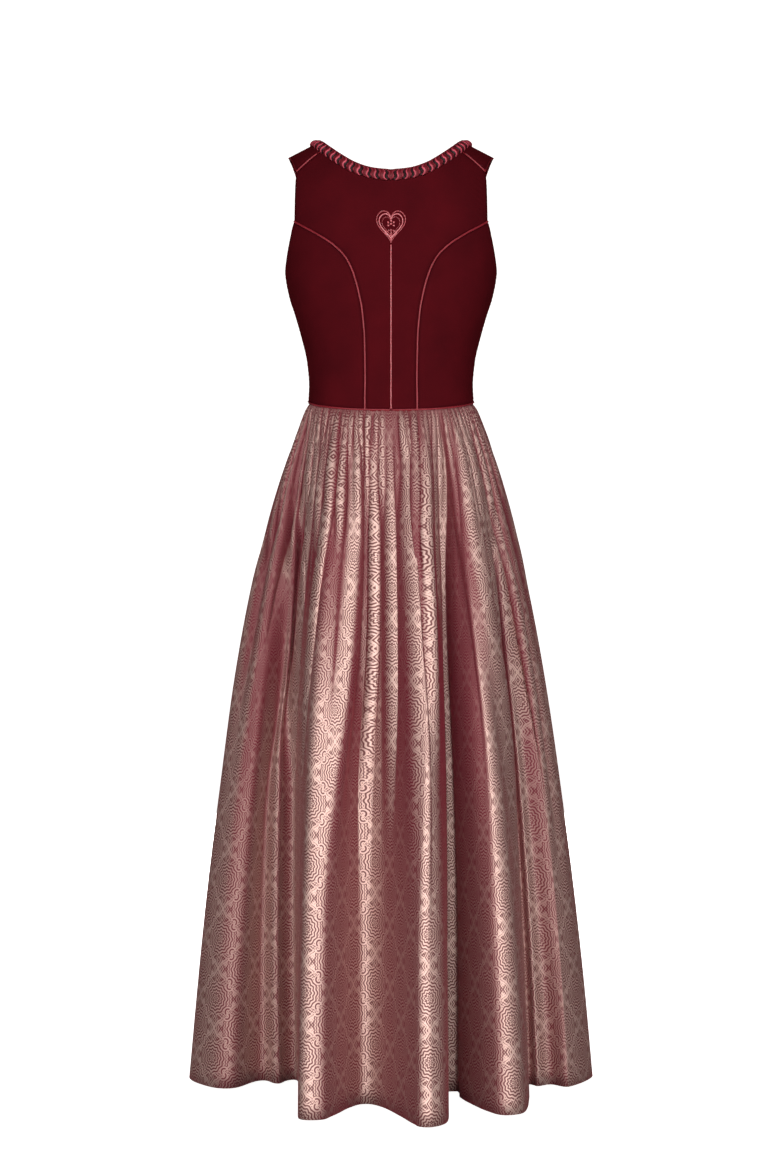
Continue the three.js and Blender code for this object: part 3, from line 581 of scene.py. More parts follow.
# %% [markdown]
# ## Corded seams
#
# The piping is a bias strip of satin folded round a cord and caught in the seam. It is a ring of
# points carried along the seam, lifted onto the cloth, whose radius swells and shrinks a little
# where the strip wraps the cord. Its ends close to a point.


# %% Cords along seams
MERGE = 0.004


def cord_mesh(name, path, normal, radius, lift, sides=12, closed=False, ripple=0.0, pitch=4.0):
    """A tube round a path on the cloth. Ring k is centre + r cos(a) across + r sin(a) normal,
    and r ripples slantwise: r = radius (1 + ripple sin(2 pi s / pitch + a))."""
    ahead = np.roll(path, -1, axis=0) if closed else np.gradient(path, axis=0) + path
    behind = np.roll(path, 1, axis=0) if closed else path
    across = unit(np.cross(unit(ahead - behind), normal))
    s = run(path)[:, None]
    angle = np.linspace(0, 2 * np.pi, sides + 1)[None, :]
    r = radius * (1 + ripple * np.sin(2 * np.pi * s / pitch + angle))
    if not closed:
        end = np.minimum(s, s[-1] - s)
        r = r * np.sqrt(1 - (1 - np.clip(end / radius, 0, 1)) ** 2)
    centre = (path + normal * (lift + radius))[:, None, :]
    beside = (r * np.cos(angle))[..., None] * across[:, None]
    above = (r * np.sin(angle))[..., None] * normal[:, None]
    grid = centre + (beside + above)
    if closed:
        grid = np.concatenate([grid, grid[:1]])
        s = np.concatenate([s, 2 * s[-1:] - s[-2:-1]])
    uv = np.stack(np.broadcast_arrays(angle / (2 * np.pi) * 0.008, s * MM), axis=-1)
    faces = grid_faces(*grid.shape[:2])
    return new_mesh(name, grid.reshape(-1, 3), faces, uv.reshape(-1, 2), merge=MERGE, closed=True)


def spots(places, side=1):
    """Points and outward normals of a line of places, from a narrow strip on both sides."""
    tau = places[:, 0:1] + np.array([[-0.4, 0.0, 0.4]])
    strip = worn(tau, np.repeat(places[:, 1:2], 3, axis=1))
    normal = normals_of(strip)[:, 1]
    mirror = np.array([side, 1, 1])
    return strip[:, 1] * mirror, normal * mirror


def resampled(places, step):
    """Places at equal steps of length along the line through them."""
    fine = edge_curve(places)(np.linspace(0, len(places) - 1, 1200))
    length = run(worn(fine[:, 0], fine[:, 1]))
    at = np.linspace(0, length[-1], max(8, int(length[-1] / step)))
    return np.stack([np.interp(at, length, fine[:, k]) for k in range(2)], axis=-1)


print("places 10 mm apart on a princess seam:", len(resampled(BACK_SEAM, 10.0)))

# %% The piping
PIPING_R, SHOULDER_R, WAIST_R = 1.35, 1.1, 1.15
PIPING_STEP = 1.3
WAIST_LIFT = 2.2
piping = {}
beyond_trim = np.linspace(0.27, 0.995, 12)[:, None]
shoulder = BACK_INNER[-1] * (1 - beyond_trim) + BACK_OUTER[-1] * beyond_trim
for hand, side in HANDS:
    for name, seam, radius, lift, ripple in (("back", BACK_SEAM, PIPING_R, 0.35, 0.09),
                                             ("shoulder", shoulder, SHOULDER_R, 0.4, 0.08)):
        path, normal = spots(resampled(seam, PIPING_STEP), side)
        cord = cord_mesh(f"seam_cord_{name}_{hand}", path, normal, radius, lift, ripple=ripple)
        piping[f"piping_{name}_{hand}"] = cord

tau = np.linspace(0, 90, 90)
dip = np.cos(np.radians(tau))
behind = np.stack([tau, -(SIDE_WAIST_Z - BACK_DIP * dip + WAIST_LIFT)], axis=-1)
before = np.stack([tau, SIDE_WAIST_Z - FRONT_DIP * dip + WAIST_LIFT], axis=-1)
quarters = [
    [part[::step][:-1] for part in spots(places, side)]
    for places, side, step in ((behind, 1, 1), (before, 1, -1), (before, -1, 1), (behind, -1, -1))
]
waist_path, waist_normal = (np.concatenate(part) for part in zip(*quarters))
piping["piping_waist"] = cord_mesh("waist_cord", waist_path, waist_normal, WAIST_R, 0.5, 8, True, 0.1, 5.0)
print("corded seams:", len(piping))

# %% [markdown]
# ## The ruched neck trim
#
# A strip of velvet is stitched back and forth and drawn up, so that it swells into a row of
# plump crescents with deep gaps between them. The strip is a ribbon laid in from the neck edge.
# Its height is a lobe in each pitch, and the lobes slant across the ribbon in an S, so that each
# one hooks under the next. Over the shoulder the pitch shortens to fine pleats.

# %% The neck edge
RUCHE_STEP = 0.62
LOBE_PITCH, PLEAT_PITCH = 11.6, 5.8
PLEATS_BEHIND, PLEATS_REACH = 4.0, 26.0
NECK_EDGE = np.concatenate([FRONT_INNER[FRONT_NECK_ROW:], BACK_INNER[BACK_NECK_ROW:-1][::-1]])


def walked(places, direction, distance):
    """Places at a distance from others along a direction in space, by the surface's slopes."""
    small = 0.5
    here = worn(places[:, 0], places[:, 1])
    by_tau = (worn(places[:, 0] + small, places[:, 1]) - here) / small
    by_path = (worn(places[:, 0], places[:, 1] + small) - here) / small
    pairs = ((by_tau, by_tau), (by_tau, by_path), (by_path, by_path))
    aa, ab, bb = ((p * q).sum(axis=-1) for p, q in pairs)
    a, b = (by_tau * direction).sum(axis=-1), (by_path * direction).sum(axis=-1)
    rate = np.stack([a * bb - b * ab, b * aa - a * ab], axis=-1) / (aa * bb - ab * ab)[:, None]
    return places[:, None] + rate[:, None] * distance[..., None]


neck = resampled(NECK_EDGE, RUCHE_STEP)[2:]
neck_points, neck_normals = spots(neck)
neck_along = directions(neck_points)
neck_inward = np.cross(neck_along, neck_normals)
neck_s = run(neck_points)
shoulder_s = neck_s[np.argmax(neck_points[:, 2])]
near_shoulder = np.exp(-(((neck_s - shoulder_s - PLEATS_BEHIND) / PLEATS_REACH) ** 4))
pitch = LOBE_PITCH + (PLEAT_PITCH - LOBE_PITCH) * near_shoulder
turns = np.concatenate([[0], np.cumsum(np.diff(neck_s) / pitch[1:])])
turns += 0.5 - turns[-1] % 1.0
print("the ruche has", int(2 * turns[-1]), "lobes on", round(2 * neck_s[-1]), "mm of neck edge")


# %% The ruche
RUCHE_BREADTH = 15.5
RUCHE_LIFT = 1.3
GAP_TALL, LOBE_TALL, OVERHANG = 1.3, 4.4, 0.72
MIRROR = np.array([-1, 1, 1])


def ruche_relief(turn, w, pleat):
    """Lobe height from 0 in a gap to 1 on a crest, and the signed place within the lobe. The
    gap lies where turn - slant(w) is a half, with slant an S, or a V among the pleats."""
    hook = 0.62 * (w - 0.5) + 0.16 * np.sin(2 * np.pi * w)
    slant = (1 - pleat) * hook + pleat * 0.8 * np.abs(w - 0.45)
    place = 2 * ((turn - slant + 0.07 * np.sin(turn * 2.4)) % 1.0 - 0.5)
    return (1 - np.abs(place) ** 2.4) ** 0.75, place


def both_halves(half, mirror=1):
    """A half and its mirror image, joined at the centre back, from right to left."""
    return np.concatenate([half, half[::-1][1:] * mirror])


def ring_round(section):
    """Closes each row of a grid onto its first point."""
    return np.concatenate([section, section[:, :1]], axis=1)


# The strip's section: over its top from the neck edge inwards, and back along the underside.
ruche_w = np.array([0, 0.03, 0.1, 0.19, 0.29, 0.39, 0.49, 0.59, 0.69, 0.79, 0.88, 0.95, 1.0, 0.98, 0.5, 0.04])
ruche_top = np.array([0, *[1] * 11, 0, 0, 0, 0], float)
lobe, place = ruche_relief(turns[:, None], ruche_w[None], near_shoulder[:, None])
breadth = RUCHE_BREADTH * (0.88 + 0.16 * lobe[:, 12:13]) * (1 - 0.2 * near_shoulder[:, None])
ruche_places = walked(neck, neck_inward, ruche_w[None] * breadth)
envelope = np.sin(np.pi * (0.1 + 0.8 * ruche_w[None])) ** 0.7 * ruche_top[None]
height = RUCHE_LIFT + envelope * (GAP_TALL + LOBE_TALL * lobe)
overhang = OVERHANG * envelope * np.sign(place) * (1 - lobe)
ruche_points = worn(ruche_places[..., 0], ruche_places[..., 1])
ruche_points += neck_normals[:, None] * height[..., None] - neck_along[:, None] * overhang[..., None]
# Painted light on the trim: a glint on each lobe's rim, stronger on one side, and painted shade deep in each
# gap.
rim = smooth((np.abs(place) - 0.3) / 0.2) * (1 - smooth((np.abs(place) - 0.6) / 0.14))
glint = rim * np.where(place > 0, 0.9, 0.3) * ruche_top[None]
shade = smooth((np.abs(place) - 0.6) / 0.22)

marks = {key: ring_round(both_halves(mark)) for key, mark in (("glint", glint), ("shade", shade))}
marks = {key: np.concatenate([mark[:1], mark, mark[-1:]]) for key, mark in marks.items()}
ruche_points = ring_round(both_halves(ruche_points, MIRROR))
ends = np.repeat(ruche_points[[0, -1]].mean(axis=1, keepdims=True), ruche_points.shape[1], axis=1)
ruche_points = np.concatenate([ends[:1], ruche_points, ends[1:]])
ruche_faces = grid_faces(*ruche_points.shape[:2])
ruche = new_mesh("velvet_ruche", ruche_points.reshape(-1, 3), ruche_faces, None, marks, MERGE, True)

edge_points, edge_normals = (both_halves(half, MIRROR) for half in (neck_points, neck_normals))
neck_roll = cord_mesh("neck_edge_roll", edge_points, edge_normals, 1.0, 2.2, 8, ripple=0.12, pitch=3.2)
print("points in the ruche:", len(ruche.data.vertices))

# %% [markdown]
# ## Beads
#
# A small glass bead is a sphere flattened along its thread. One bead of a few dozen faces is
# placed many times by adding its points to every centre, so that a whole row is one array.


# %% A row of beads
def bead_shape(sides=8, rings=4):
    """Points and triangles of a unit bead round the thread axis x, with closed poles."""
    lat = np.pi * (np.arange(1, rings + 1) / (rings + 1) - 0.5)
    lon = 2 * np.pi * np.arange(sides) / sides
    ring = np.stack([np.broadcast_to(np.sin(lat)[:, None], (rings, sides)),
                     np.cos(lat)[:, None] * np.cos(lon), np.cos(lat)[:, None] * np.sin(lon)], axis=-1)
    points = np.concatenate([ring.reshape(-1, 3), [[-1, 0, 0], [1, 0, 0]]])
    k, n = np.arange(sides), (np.arange(sides) + 1) % sides
    low, high = rings * sides, rings * sides + 1
    tri = [np.stack([np.full(sides, low), n, k], axis=-1),
           np.stack([np.full(sides, high), k + low - sides, n + low - sides], axis=-1)]
    for r in range(rings - 1):
        a, b = r * sides, (r + 1) * sides
        tri += [np.stack([a + k, a + n, b + n], axis=-1), np.stack([a + k, b + n, b + k], axis=-1)]
    return points, np.concatenate(tri)


def bead_row(centres, along, normal, radius, length):
    """Points and faces of beads: centre + length x along + radius (y across + z normal)."""
    shape, tri = bead_shape()
    across = np.cross(along, normal)
    axes = np.stack([along * length, across * radius, normal * radius], axis=1)
    points = centres[:, None] + np.einsum("pk,nkd->npd", shape, axes)
    faces = tri[None] + (len(shape) * np.arange(len(centres)))[:, None, None]
    return points.reshape(-1, 3), faces.reshape(-1, 3)


def joined(name, parts):
    """One object from several arrays of points and faces of the same kind."""
    first = np.cumsum([0] + [len(p) for p, _ in parts[:-1]])
    faces = np.concatenate([f + a for (_, f), a in zip(parts, first)])
    return new_mesh(name, np.concatenate([p for p, _ in parts]), faces, closed=True)


def on_the_back(x, z, lift):
    """Points and normals at (x, z) on the back panel, lifted off it."""
    places = on_back(np.abs(x), z)
    points, normal = spots(places)
    mirror = np.stack([np.where(x < 0, -1.0, 1.0), np.ones_like(x), np.ones_like(x)], axis=-1)
    return points * mirror + normal * mirror * lift, normal * mirror


BEAD_LIFT = 2.0


def line_of_beads(x, z, pitch, radius):
    """Round beads a pitch apart along a line in the plane of the back."""
    centres, normal = on_the_back(*evenly(np.stack([x, z], axis=-1), pitch).T, BEAD_LIFT)
    return bead_row(centres, directions(centres), normal, radius, radius * 0.9)


BEAD_POINTS = len(bead_shape()[0])
print("a bead has", BEAD_POINTS, "points and", len(bead_shape()[1]), "faces")

# %% [markdown]
# ## The beaded line and the heart
#
# The centre back carries a line of beads sewn close over a thread, which ends in a small heart,
# a common figure on such dresses. The heart's outline is the well known curve
# x = 16 sin^3 t, z = 13 cos t - 5 cos 2t - 2 cos 3t - cos 4t. It is worked in beads with a cord
# inside, round a bead flower on a stalk with two leaves.

# %% The beaded line
LINE_TOP_Z, LINE_FOOT_Z, LINE_PITCH = -162.0, -394.0, 4.6
BEAD_R, BEAD_HALF_LENGTH = 1.35, 1.6
line_z = np.arange(LINE_TOP_Z, LINE_FOOT_Z, -LINE_PITCH)
centres, normal = on_the_back(np.zeros_like(line_z), line_z, 2.4)
line_beads = bead_row(centres, directions(centres), normal, BEAD_R, BEAD_HALF_LENGTH)
bead_line = joined("bead_line", [line_beads])
thread_z = np.linspace(LINE_TOP_Z + 2.5, LINE_FOOT_Z - 0.5, 160)
thread, thread_normal = on_the_back(np.zeros_like(thread_z), thread_z, 0.0)
bead_thread = cord_mesh("bead_thread", thread, thread_normal, 0.85, 1.1, 8, ripple=0.12, pitch=1.6)
print("beads in the line:", len(line_z))


# %% The heart
HEART_FOOT_Z = -158.0
HEART_TALL, HEART_WIDE = 46.0, 41.0
FLOWER_Z = HEART_FOOT_Z + 27.0
PETALS, PETAL_RING = 6, 4.6
NOTCH = 0.06


def heart(t, share):
    """The heart curve at angle t, shrunk to a share of its size about its middle."""
    x = 16 * np.sin(t) ** 3
    z = 13 * np.cos(t) - 5 * np.cos(2 * t) - 2 * np.cos(3 * t) - np.cos(4 * t)
    middle = HEART_FOOT_Z + HEART_TALL / 2
    return x * HEART_WIDE / 32 * share, middle + (z + 2.5) * HEART_TALL / 29 * share


def heart_cord(name, x, z, radius):
    """A twisted cord along a line in the plane of the back."""
    path, normal = on_the_back(x, z, 0.0)
    return cord_mesh(name, path, normal, radius, 1.15, 8, ripple=0.16, pitch=1.9)


t = np.linspace(NOTCH, 2 * np.pi - NOTCH, 400)
petal = 2 * np.pi * np.arange(PETALS) / PETALS
petals = on_the_back(PETAL_RING * np.sin(petal), FLOWER_Z + PETAL_RING * np.cos(petal), BEAD_LIFT + 0.2)
# Normals come from differences, so the middle bead is given a second place beside its own.
middle, middle_normal = on_the_back(np.zeros(2), np.array([FLOWER_Z, FLOWER_Z + 0.01]), BEAD_LIFT + 0.6)
level = np.array([[1.0, 0.0, 0.0]])
heart_beads = [
    line_of_beads(*heart(t, 1.0), 2.15, 1.05),
    line_of_beads(*heart(t[30:-30], 0.62), 2.3, 0.8),
    bead_row(petals[0], level.repeat(PETALS, axis=0), petals[1], 1.7, 1.7),
    bead_row(middle[:1], level, middle_normal[:1], 1.9, 1.9),
]
ornament_beads = joined("heart_beads", heart_beads)

leaf = np.linspace(0, 1, 40)
heart_cords = [
    heart_cord("heart_cord", *heart(np.linspace(2 * NOTCH, 2 * np.pi - 2 * NOTCH, 220), 0.82), 1.0),
    heart_cord("heart_stalk", 0 * leaf, HEART_FOOT_Z + 4.5 + 15.5 * leaf, 0.8),
]
for hand, side in HANDS:
    x = side * (0.9 + 7.5 * np.sin(np.pi * leaf) ** 1.2 * (1 - 0.35 * leaf) + 1.2 * leaf)
    heart_cords.append(heart_cord(f"heart_leaf_{hand}", x, HEART_FOOT_Z + 9.5 + 9.0 * leaf, 0.8))
print("beads in the heart:", sum(len(points) for points, _ in heart_beads) // BEAD_POINTS)

# %% [markdown]
# ## The gathered skirt
#
# Two widths of jacquard, cut narrower at the waist than at the hem, are drawn up into the
# waist seam. The hem, seen from above, is a closed curve through the crests and troughs of
# the long folds. Each thread of the cloth runs from a place on the waist to a place on that
# curve, and bends from the waist's round section to it as it falls. Shorter folds and the
# gathers are added on top along the outward normal.

# %% Tables of the skirt
JACQUARD = 1.2
HEM_Z = -1386.0
SIDE_DROP = SIDE_WAIST_Z - HEM_Z
SKIRT_DROP = [0, 8, 20, 38, 65, 105, 160, 235, 335, 455, 590, 730, 870, 1006]
SKIRT_HALF = [118.5, 122.5, 127, 133, 142, 154, 167, 181, 198, 215.5, 231.5, 245.5, 257, 266]
SKIRT_DEEP = [84, 90, 96, 103, 112, 125, 140, 156, 174, 192, 208, 222, 233, 241]
HEM_X = [12, 36, 58, 80, 101, 127, 128, 143, 166, 192, 238, 268, 303, 284, 226, 214, 232, 196, 150, 120,
         118, 124, 84, 52, 24, 18, 8, -30, -50, -78, -94, -116, -150, -146, -172, -206, -242, -252,
         -234, -270, -303, -262, -237, -216, -203, -199, -186, -160, -136, -110, -82, -78, -54, -34, -14]
HEM_Y = [144, 121, 146, 200, 232, 222, 80, -62, -34, -54, 6, -12, -82, -126, -124, -172, -214, -238, -182,
         -176, -226, -272, -286, -218, -212, -256, -290, -284, -222, -212, -252, -282, -258, -196, -170,
         -200, -212, -168, -128, -124, -92, -5, -24, -10, -22, 74, 180, 200, 172, 108, 30, 238, 281, 262, 208]
HEM_WAIST = [5, 12.5, 18.5, 24.5, 30, 38, 57, 70, 72.5, 75, 79, 84, 91, 97, 102, 107, 113, 119, 126, 132,
             138, 144, 151, 158, 164, 170, 176, 183, 190, 196, 202, 209, 216, 224, 231, 238, 245, 251,
             258, 265, 272, 287, 293, 297, 300, 309, 316, 319.5, 323, 326, 329, 341, 347.5, 351.5, 356.5]

print("folds round the hem:", len(HEM_X))

# %% The section and the hem
WAIST_BACK, WAIST_FRONT = 80.5, 89.0
ROUNDING = 0.1
skirt_half, skirt_deep = curve(SKIRT_DROP, SKIRT_HALF), curve(SKIRT_DROP, SKIRT_DEEP)


def skirt_ring(angle, drop):
    """The smooth section, from the bodice's superellipse at the waist to an ellipse below."""
    power = 2 / (SQUARENESS + (2 - SQUARENESS) * smooth(drop / 200))
    s, c = np.sin(np.radians(angle)), np.cos(np.radians(angle))
    waist_depth = np.where(c > 0, WAIST_BACK, WAIST_FRONT)
    deep = skirt_deep(drop) + (waist_depth - SKIRT_DEEP[0]) * (1 - smooth(drop / 300))
    return np.stack([skirt_half(drop) * signed_power(s, power), deep * signed_power(c, power)], axis=-1)


def opened(x, y, share, breadth=60):
    """Rounds the folds of a closed curve. With n the height of a point over the curve's own
    average over a breadth, the point moves -share * n * dn/ds along it, so that crests and
    troughs broaden and the flanks between them stand steeper."""
    place = np.stack([x, y], axis=-1)[:-1]
    wave = np.fft.fftfreq(len(place)) * 2 * np.pi * breadth
    even = np.fft.ifft(np.fft.fft(place, axis=0) * np.exp(-0.5 * wave**2)[:, None], axis=0).real
    along = unit(np.roll(even, -1, axis=0) - np.roll(even, 1, axis=0))
    normal = np.stack([-along[:, 1], along[:, 0]], axis=-1)
    height = ((place - even) * normal).sum(axis=-1)
    step = np.linalg.norm(np.roll(even, -1, axis=0) - even, axis=-1)
    slope = (np.roll(height, -1) - np.roll(height, 1)) / (2 * step)
    move = np.clip(-share * height * slope, -11.0, 11.0)
    place = place + along * move[:, None]
    return np.concatenate([place, place[:1]]).T


def hem_curve(count=3000):
    """Threads round the hem: columns x, y, waist angle and cloth length. The curve is cubic
    through the folds, with knots a square root of their distance apart and each slope that of
    the chord between the neighbours."""
    fold = np.stack([HEM_X, HEM_Y], axis=-1).astype(float)
    three = np.concatenate([fold, fold, fold])
    waist = np.concatenate([np.array(HEM_WAIST) + 360 * k for k in (-1, 0, 1)])
    knots = np.concatenate([[0], np.cumsum(np.sqrt(np.linalg.norm(np.diff(three, axis=0), axis=-1)))])
    n = len(fold)
    at = np.linspace(knots[n], knots[2 * n], count + 1)
    slopes = np.pad((three[2:] - three[:-2]) / (knots[2:] - knots[:-2])[:, None], ((1, 1), (0, 0)))
    x, y = opened(*(curve(knots, three[:, k], slopes[:, k])(at) for k in range(2)), ROUNDING)
    return np.stack([x, y, curve(knots, waist)(at), run(np.stack([x, y], axis=-1))], axis=-1)


HEM = hem_curve()
HEM_LENGTH = HEM[-1, 3]
# Columns of the grid are spread by a mean of the angle at the waist and the length of the hem.
HEM_ORDER = 0.45 * HEM[:, 2] / 360 + 0.55 * HEM[:, 3] / HEM_LENGTH
print("the hem is", round(HEM_LENGTH), "mm round")

# %% [markdown]
# ## Folds and gathers
#
# Gathers are never even: each is a narrow rounded ridge of its own width, height and reach, and
# a few run on into the long folds. Their places are drawn from a seeded generator round the
# waist, and the longer folds are listed. A ridge is a bell curve round the waist, less a
# wider and lower one, so that the cloth between ridges sinks as much as they rise.

# %% The folds
# One row for each fold of the back: its place round the waist in degrees at 90, 280 and 600 mm
# below the seam, its reach and rise in mm, its half width in degrees and its lean.
BACK_FOLDS = np.array([
    [84, 90, 92, 900, 4.0, 3.2, -0.3],
    [76, 82, 84, 1300, 5.5, 3.0, -0.3],
    [69, 76, 79, 640, 8.5, 2.2, -0.6],
    [62, 66, 68, 240, 7.0, 2.2, -0.2],
    [55, 64, 73, 1300, 8.0, 3.2, -0.4],
    [45, 46, 48, 270, 8.0, 2.2, 0.0],
    [36, 43, 52, 640, 10.0, 2.8, -0.4],
    [29, 30, 32, 250, 7.0, 1.8, 0.0],
    [21, 22, 27, 760, 9.5, 3.4, -0.9],
    [14.5, 15, 17, 230, 6.5, 1.5, 0.0],
    [9.3, 9.3, 13, 760, 8.0, 1.9, 0.0],
    [5, 5, 5, 200, 6.0, 1.4, 0.0],
    [1.5, 1, 1, 700, 8.0, 2.3, -0.4],
    [-2, -2, -3, 190, 6.0, 1.4, 0.0],
    [-6, -8, -10, 800, 9.0, 2.6, -0.9],
    [-11, -11.5, -13, 240, 6.5, 1.6, 0.0],
    [-16.5, -15.5, -19, 560, 8.5, 2.2, -0.8],
    [-21.5, -22, -23, 290, 7.0, 1.8, 0.2],
    [-26.5, -27.5, -29, 400, 8.5, 2.0, 0.2],
    [-31.5, -34, -37, 760, 10.0, 3.2, 0.0],
    [-37, -38.5, -40, 230, 7.0, 1.8, 0.0],
    [-42, -45, -50, 800, 10.0, 2.8, -0.5],
    [-50, -54, -57, 460, 8.5, 2.2, -0.6],
    [-57, -65, -70, 1200, 8.0, 2.8, -0.5],
    [-64, -72, -75, 760, 8.5, 2.4, -0.3],
    [-72, -79, -82, 900, 4.5, 2.8, 0.0],
    [-82, -89, -91, 1000, 4.0, 3.2, 0.0],
    [60, 61, 62, 330, -6.0, 0.8, 0.0],
    [12, 12.2, 12.5, 360, -6.5, 0.7, 0.0],
    [-14, -14, -14.5, 320, -5.5, 0.7, 0.0],
    [-24.5, -25, -25.5, 330, -5.5, 0.7, 0.0],
    [-46.5, -48, -50, 300, -6.0, 0.8, 0.0],
])
print("folds of the back:", len(BACK_FOLDS))

# %% Gathers and the folds of the front
GATHER_PITCH = 3.9
rng = np.random.default_rng(11)


def turned_to_front(table):
    """The same kinds of fold for the front: the table turned half round and shuffled in size."""
    front = table.copy()
    front[:, :3] = 180 - table[:, :3]
    front[:, 3:5] = rng.permutation(table[:, 3:5])
    return front


def made_gathers():
    """Gathers round the waist, small and close: rows like those of the folds."""
    angle = np.cumsum(GATHER_PITCH * rng.uniform(0.6, 1.5, 130))
    angle = angle[angle < 360 - 0.4 * GATHER_PITCH]
    reach = 90 + 230 * rng.random(len(angle)) ** 1.6
    rise = rng.uniform(3.8, 7.6, len(angle))
    spread = GATHER_PITCH * rng.uniform(0.22, 0.36, len(angle))
    return np.stack([angle, angle, angle, reach, rise, spread, 0 * angle], axis=-1)


FOLDS = np.concatenate([BACK_FOLDS, turned_to_front(BACK_FOLDS)])
GATHERS = made_gathers()
print("gathers:", len(GATHERS))

# %% Ridges
FOLD_MARKS = (90.0, 280.0, 600.0)
FOLD_BLOOM = 0.95


def ridges(table, waist, drop, begin):
    """Two fields over the skirt, outwards and sideways, summed over the table. Each fold rises
    by rise * (bell(a / s) - bell(a / 2s) / 2), with a the angle away from its drifting crest, and
    moves sideways by rise * bell(a / s) * (lean + bloom * a / s), which rounds its crest."""
    rise, lean = 0.0, 0.0
    for row in table:
        crest = curve((0, *FOLD_MARKS, SIDE_DROP), (row[0], *row[:3], row[2]))(drop)[:, None]
        away = ((waist[None] - crest + 540) % 360 - 180) / row[5]
        fade = smooth(drop / begin) * (1 - smooth((drop / row[3] - 0.45) / 0.55))
        bell = np.exp(-(away**2))
        part = row[4] * (fade * (skirt_half(drop) / skirt_half(FOLD_MARKS[0])) ** 1.3)[:, None]
        rise = rise + part * (bell - 0.5 * np.exp(-((away / 2) ** 2)))
        lean = lean + part * bell * (row[6] + FOLD_BLOOM * away)
    return rise, lean


print("the first fold swings", BACK_FOLDS[0, 2] - BACK_FOLDS[0, 0], "degrees on its way down")

# %% The skirt's surface
FOLD_GROWTH = 0.78


def painted_sheen_and_shade(rise, facing, drop):
    """Painted sheen and shade from 0 to 1, shown as more crimson ground: on the flanks of folds,
    where the cloth turns away from its section, and near the waist in the hollows between the gathers."""
    # Painted sheen and shade on the flanks, where the cloth turns away.
    flank = smooth((0.94 - facing) / 0.46)
    # Painted shade in the hollows between the gathers near the waist.
    hollow = smooth((3.5 - rise) / 5.0) * (1 - smooth((drop - 200) / 300))
    return np.maximum(flank, hollow) * (1 - 0.4 * smooth((drop - 400) / 450))


def skirt_grid(order_from, order_to, columns, drops):
    """Points, uv and painted sheen and shade of one width of the skirt. A thread lies at section(waist
    angle, drop) + (drop / length)^growth (hem point - section at the hem) + the ridges, and it
    falls straight from the dipping waist seam to the level hem."""
    order = np.linspace(order_from, order_to, columns)
    wrapped = (order - HEM_ORDER[0]) % 1.0 + HEM_ORDER[0]
    x, y, waist, cloth = (np.interp(wrapped, HEM_ORDER, HEM[:, k]) for k in range(4))
    cloth = cloth + HEM_LENGTH * np.round((order - wrapped))
    drop = drops[:, None]
    grown = np.clip(drops / SIDE_DROP, 0, 1)[:, None, None] ** FOLD_GROWTH
    ring = skirt_ring(waist[None], drop)
    shift = np.stack([x, y], axis=-1)[None] - skirt_ring(waist[None], np.array([[SIDE_DROP]]))
    out = unit(ring / np.stack([skirt_half(drop), skirt_deep(drop)], axis=-1) ** 2)
    tangent = np.stack([out[..., 1], -out[..., 0]], axis=-1)
    fold_rise, fold_lean = ridges(FOLDS, waist, drops, 80.0)
    gather_rise, gather_lean = ridges(GATHERS, waist, drops + 8, 20.0)
    rise, lean = fold_rise + gather_rise, fold_lean + gather_lean
    plan = ring + grown * shift + out * rise[..., None] + tangent * lean[..., None]
    cosine = np.cos(np.radians(waist))
    top = SIDE_WAIST_Z - np.where(cosine > 0, BACK_DIP, FRONT_DIP) * np.abs(cosine) - 0.8
    z = top[None] + (HEM_Z - top[None]) * (drop / SIDE_DROP)
    grid = np.concatenate([plan, z[..., None]], axis=-1)
    uv = np.stack(np.broadcast_arrays(cloth[None], SIDE_DROP - drop), axis=-1) * MM
    facing = np.abs((normals_of(grid)[..., :2] * out).sum(axis=-1))
    return grid, uv, painted_sheen_and_shade(rise, facing, drop)


print("half way down, a fold has", round(0.5**FOLD_GROWTH, 2), "of its depth")

# %% The two widths
SKIRT_SEAM = 0.0004
drops = np.concatenate([np.linspace(-2, 120, 42)[:-1], np.linspace(120, 420, 26)[:-1],
                        np.linspace(420, SIDE_DROP, 30)])
right_seam, left_seam = np.interp([270, 90], HEM[:, 2], HEM_ORDER)
skirt, cuts = {}, {}
for name, start, end, columns in (("skirt_back", right_seam, left_seam + 1, 500),
                                  ("skirt_front", left_seam, right_seam, 380)):
    # ground here is the painted sheen and shade, which the mesh keeps as a mark.
    grid, uv, ground = skirt_grid(start + SKIRT_SEAM, end - SKIRT_SEAM, columns, drops)
    order = outward_order(grid)
    width = new_mesh("jacquard_" + name, grid[:, order].reshape(-1, 3), grid_faces(*grid.shape[:2]),
                     uv[:, order].reshape(-1, 2), {"flank": ground[:, order].ravel()})
    skirt[name] = thicken(width, JACQUARD)
    down = np.linalg.norm(np.diff(grid, axis=0), axis=-1).sum(axis=0).mean()
    cuts[name] = (float(np.ptp(uv[-1, :, 0])), float(down * MM))
    print(name, "cut", [round(v, 3) for v in cuts[name]], "m")

# %% [markdown]
# ## Velvet
#
# The pile of a cotton velvet swallows light that falls on it straight and gives a little back
# at a slant, which is a soft sheen. The pile never lies quite one way, so broad faint patches
# are lighter or darker, with a painted sheen on each turned edge and painted shade in the dip beside it.


# %% The velvet
def velvet():
    """The bodice's velvet: a painted sheen on its turned edge and painted shade in the dip beside it."""
    bench = Bench("velvet")
    pile = bench.noise(1400.0)
    edge = bench.mark("edge")
    base = bench.mix(bench.noise(22.0, 3.0), colour(54, 4, 10), colour(78, 8, 16))
    base = bench.mix(pile * 0.5, base, colour(48, 3, 7))
    # Painted shade in the dip beside each seam and edge.
    base = bench.mix(edge.below(4.5, 5.0) * 0.4, base, colour(36, 1, 5))
    # Painted sheen: a lighter line along each turned edge.
    base = bench.mix(edge.below(1.2, 1.6) * 0.7, base, colour(126, 30, 38))
    return bench.finish(bench.surface(
        base, 0.9, Specular_IOR_Level=0.05, Normal=bench.bump(pile, 0.35, 0.0004),
        Sheen_Weight=0.06, Sheen_Roughness=0.4, Sheen_Tint=colour(225, 40, 52)))


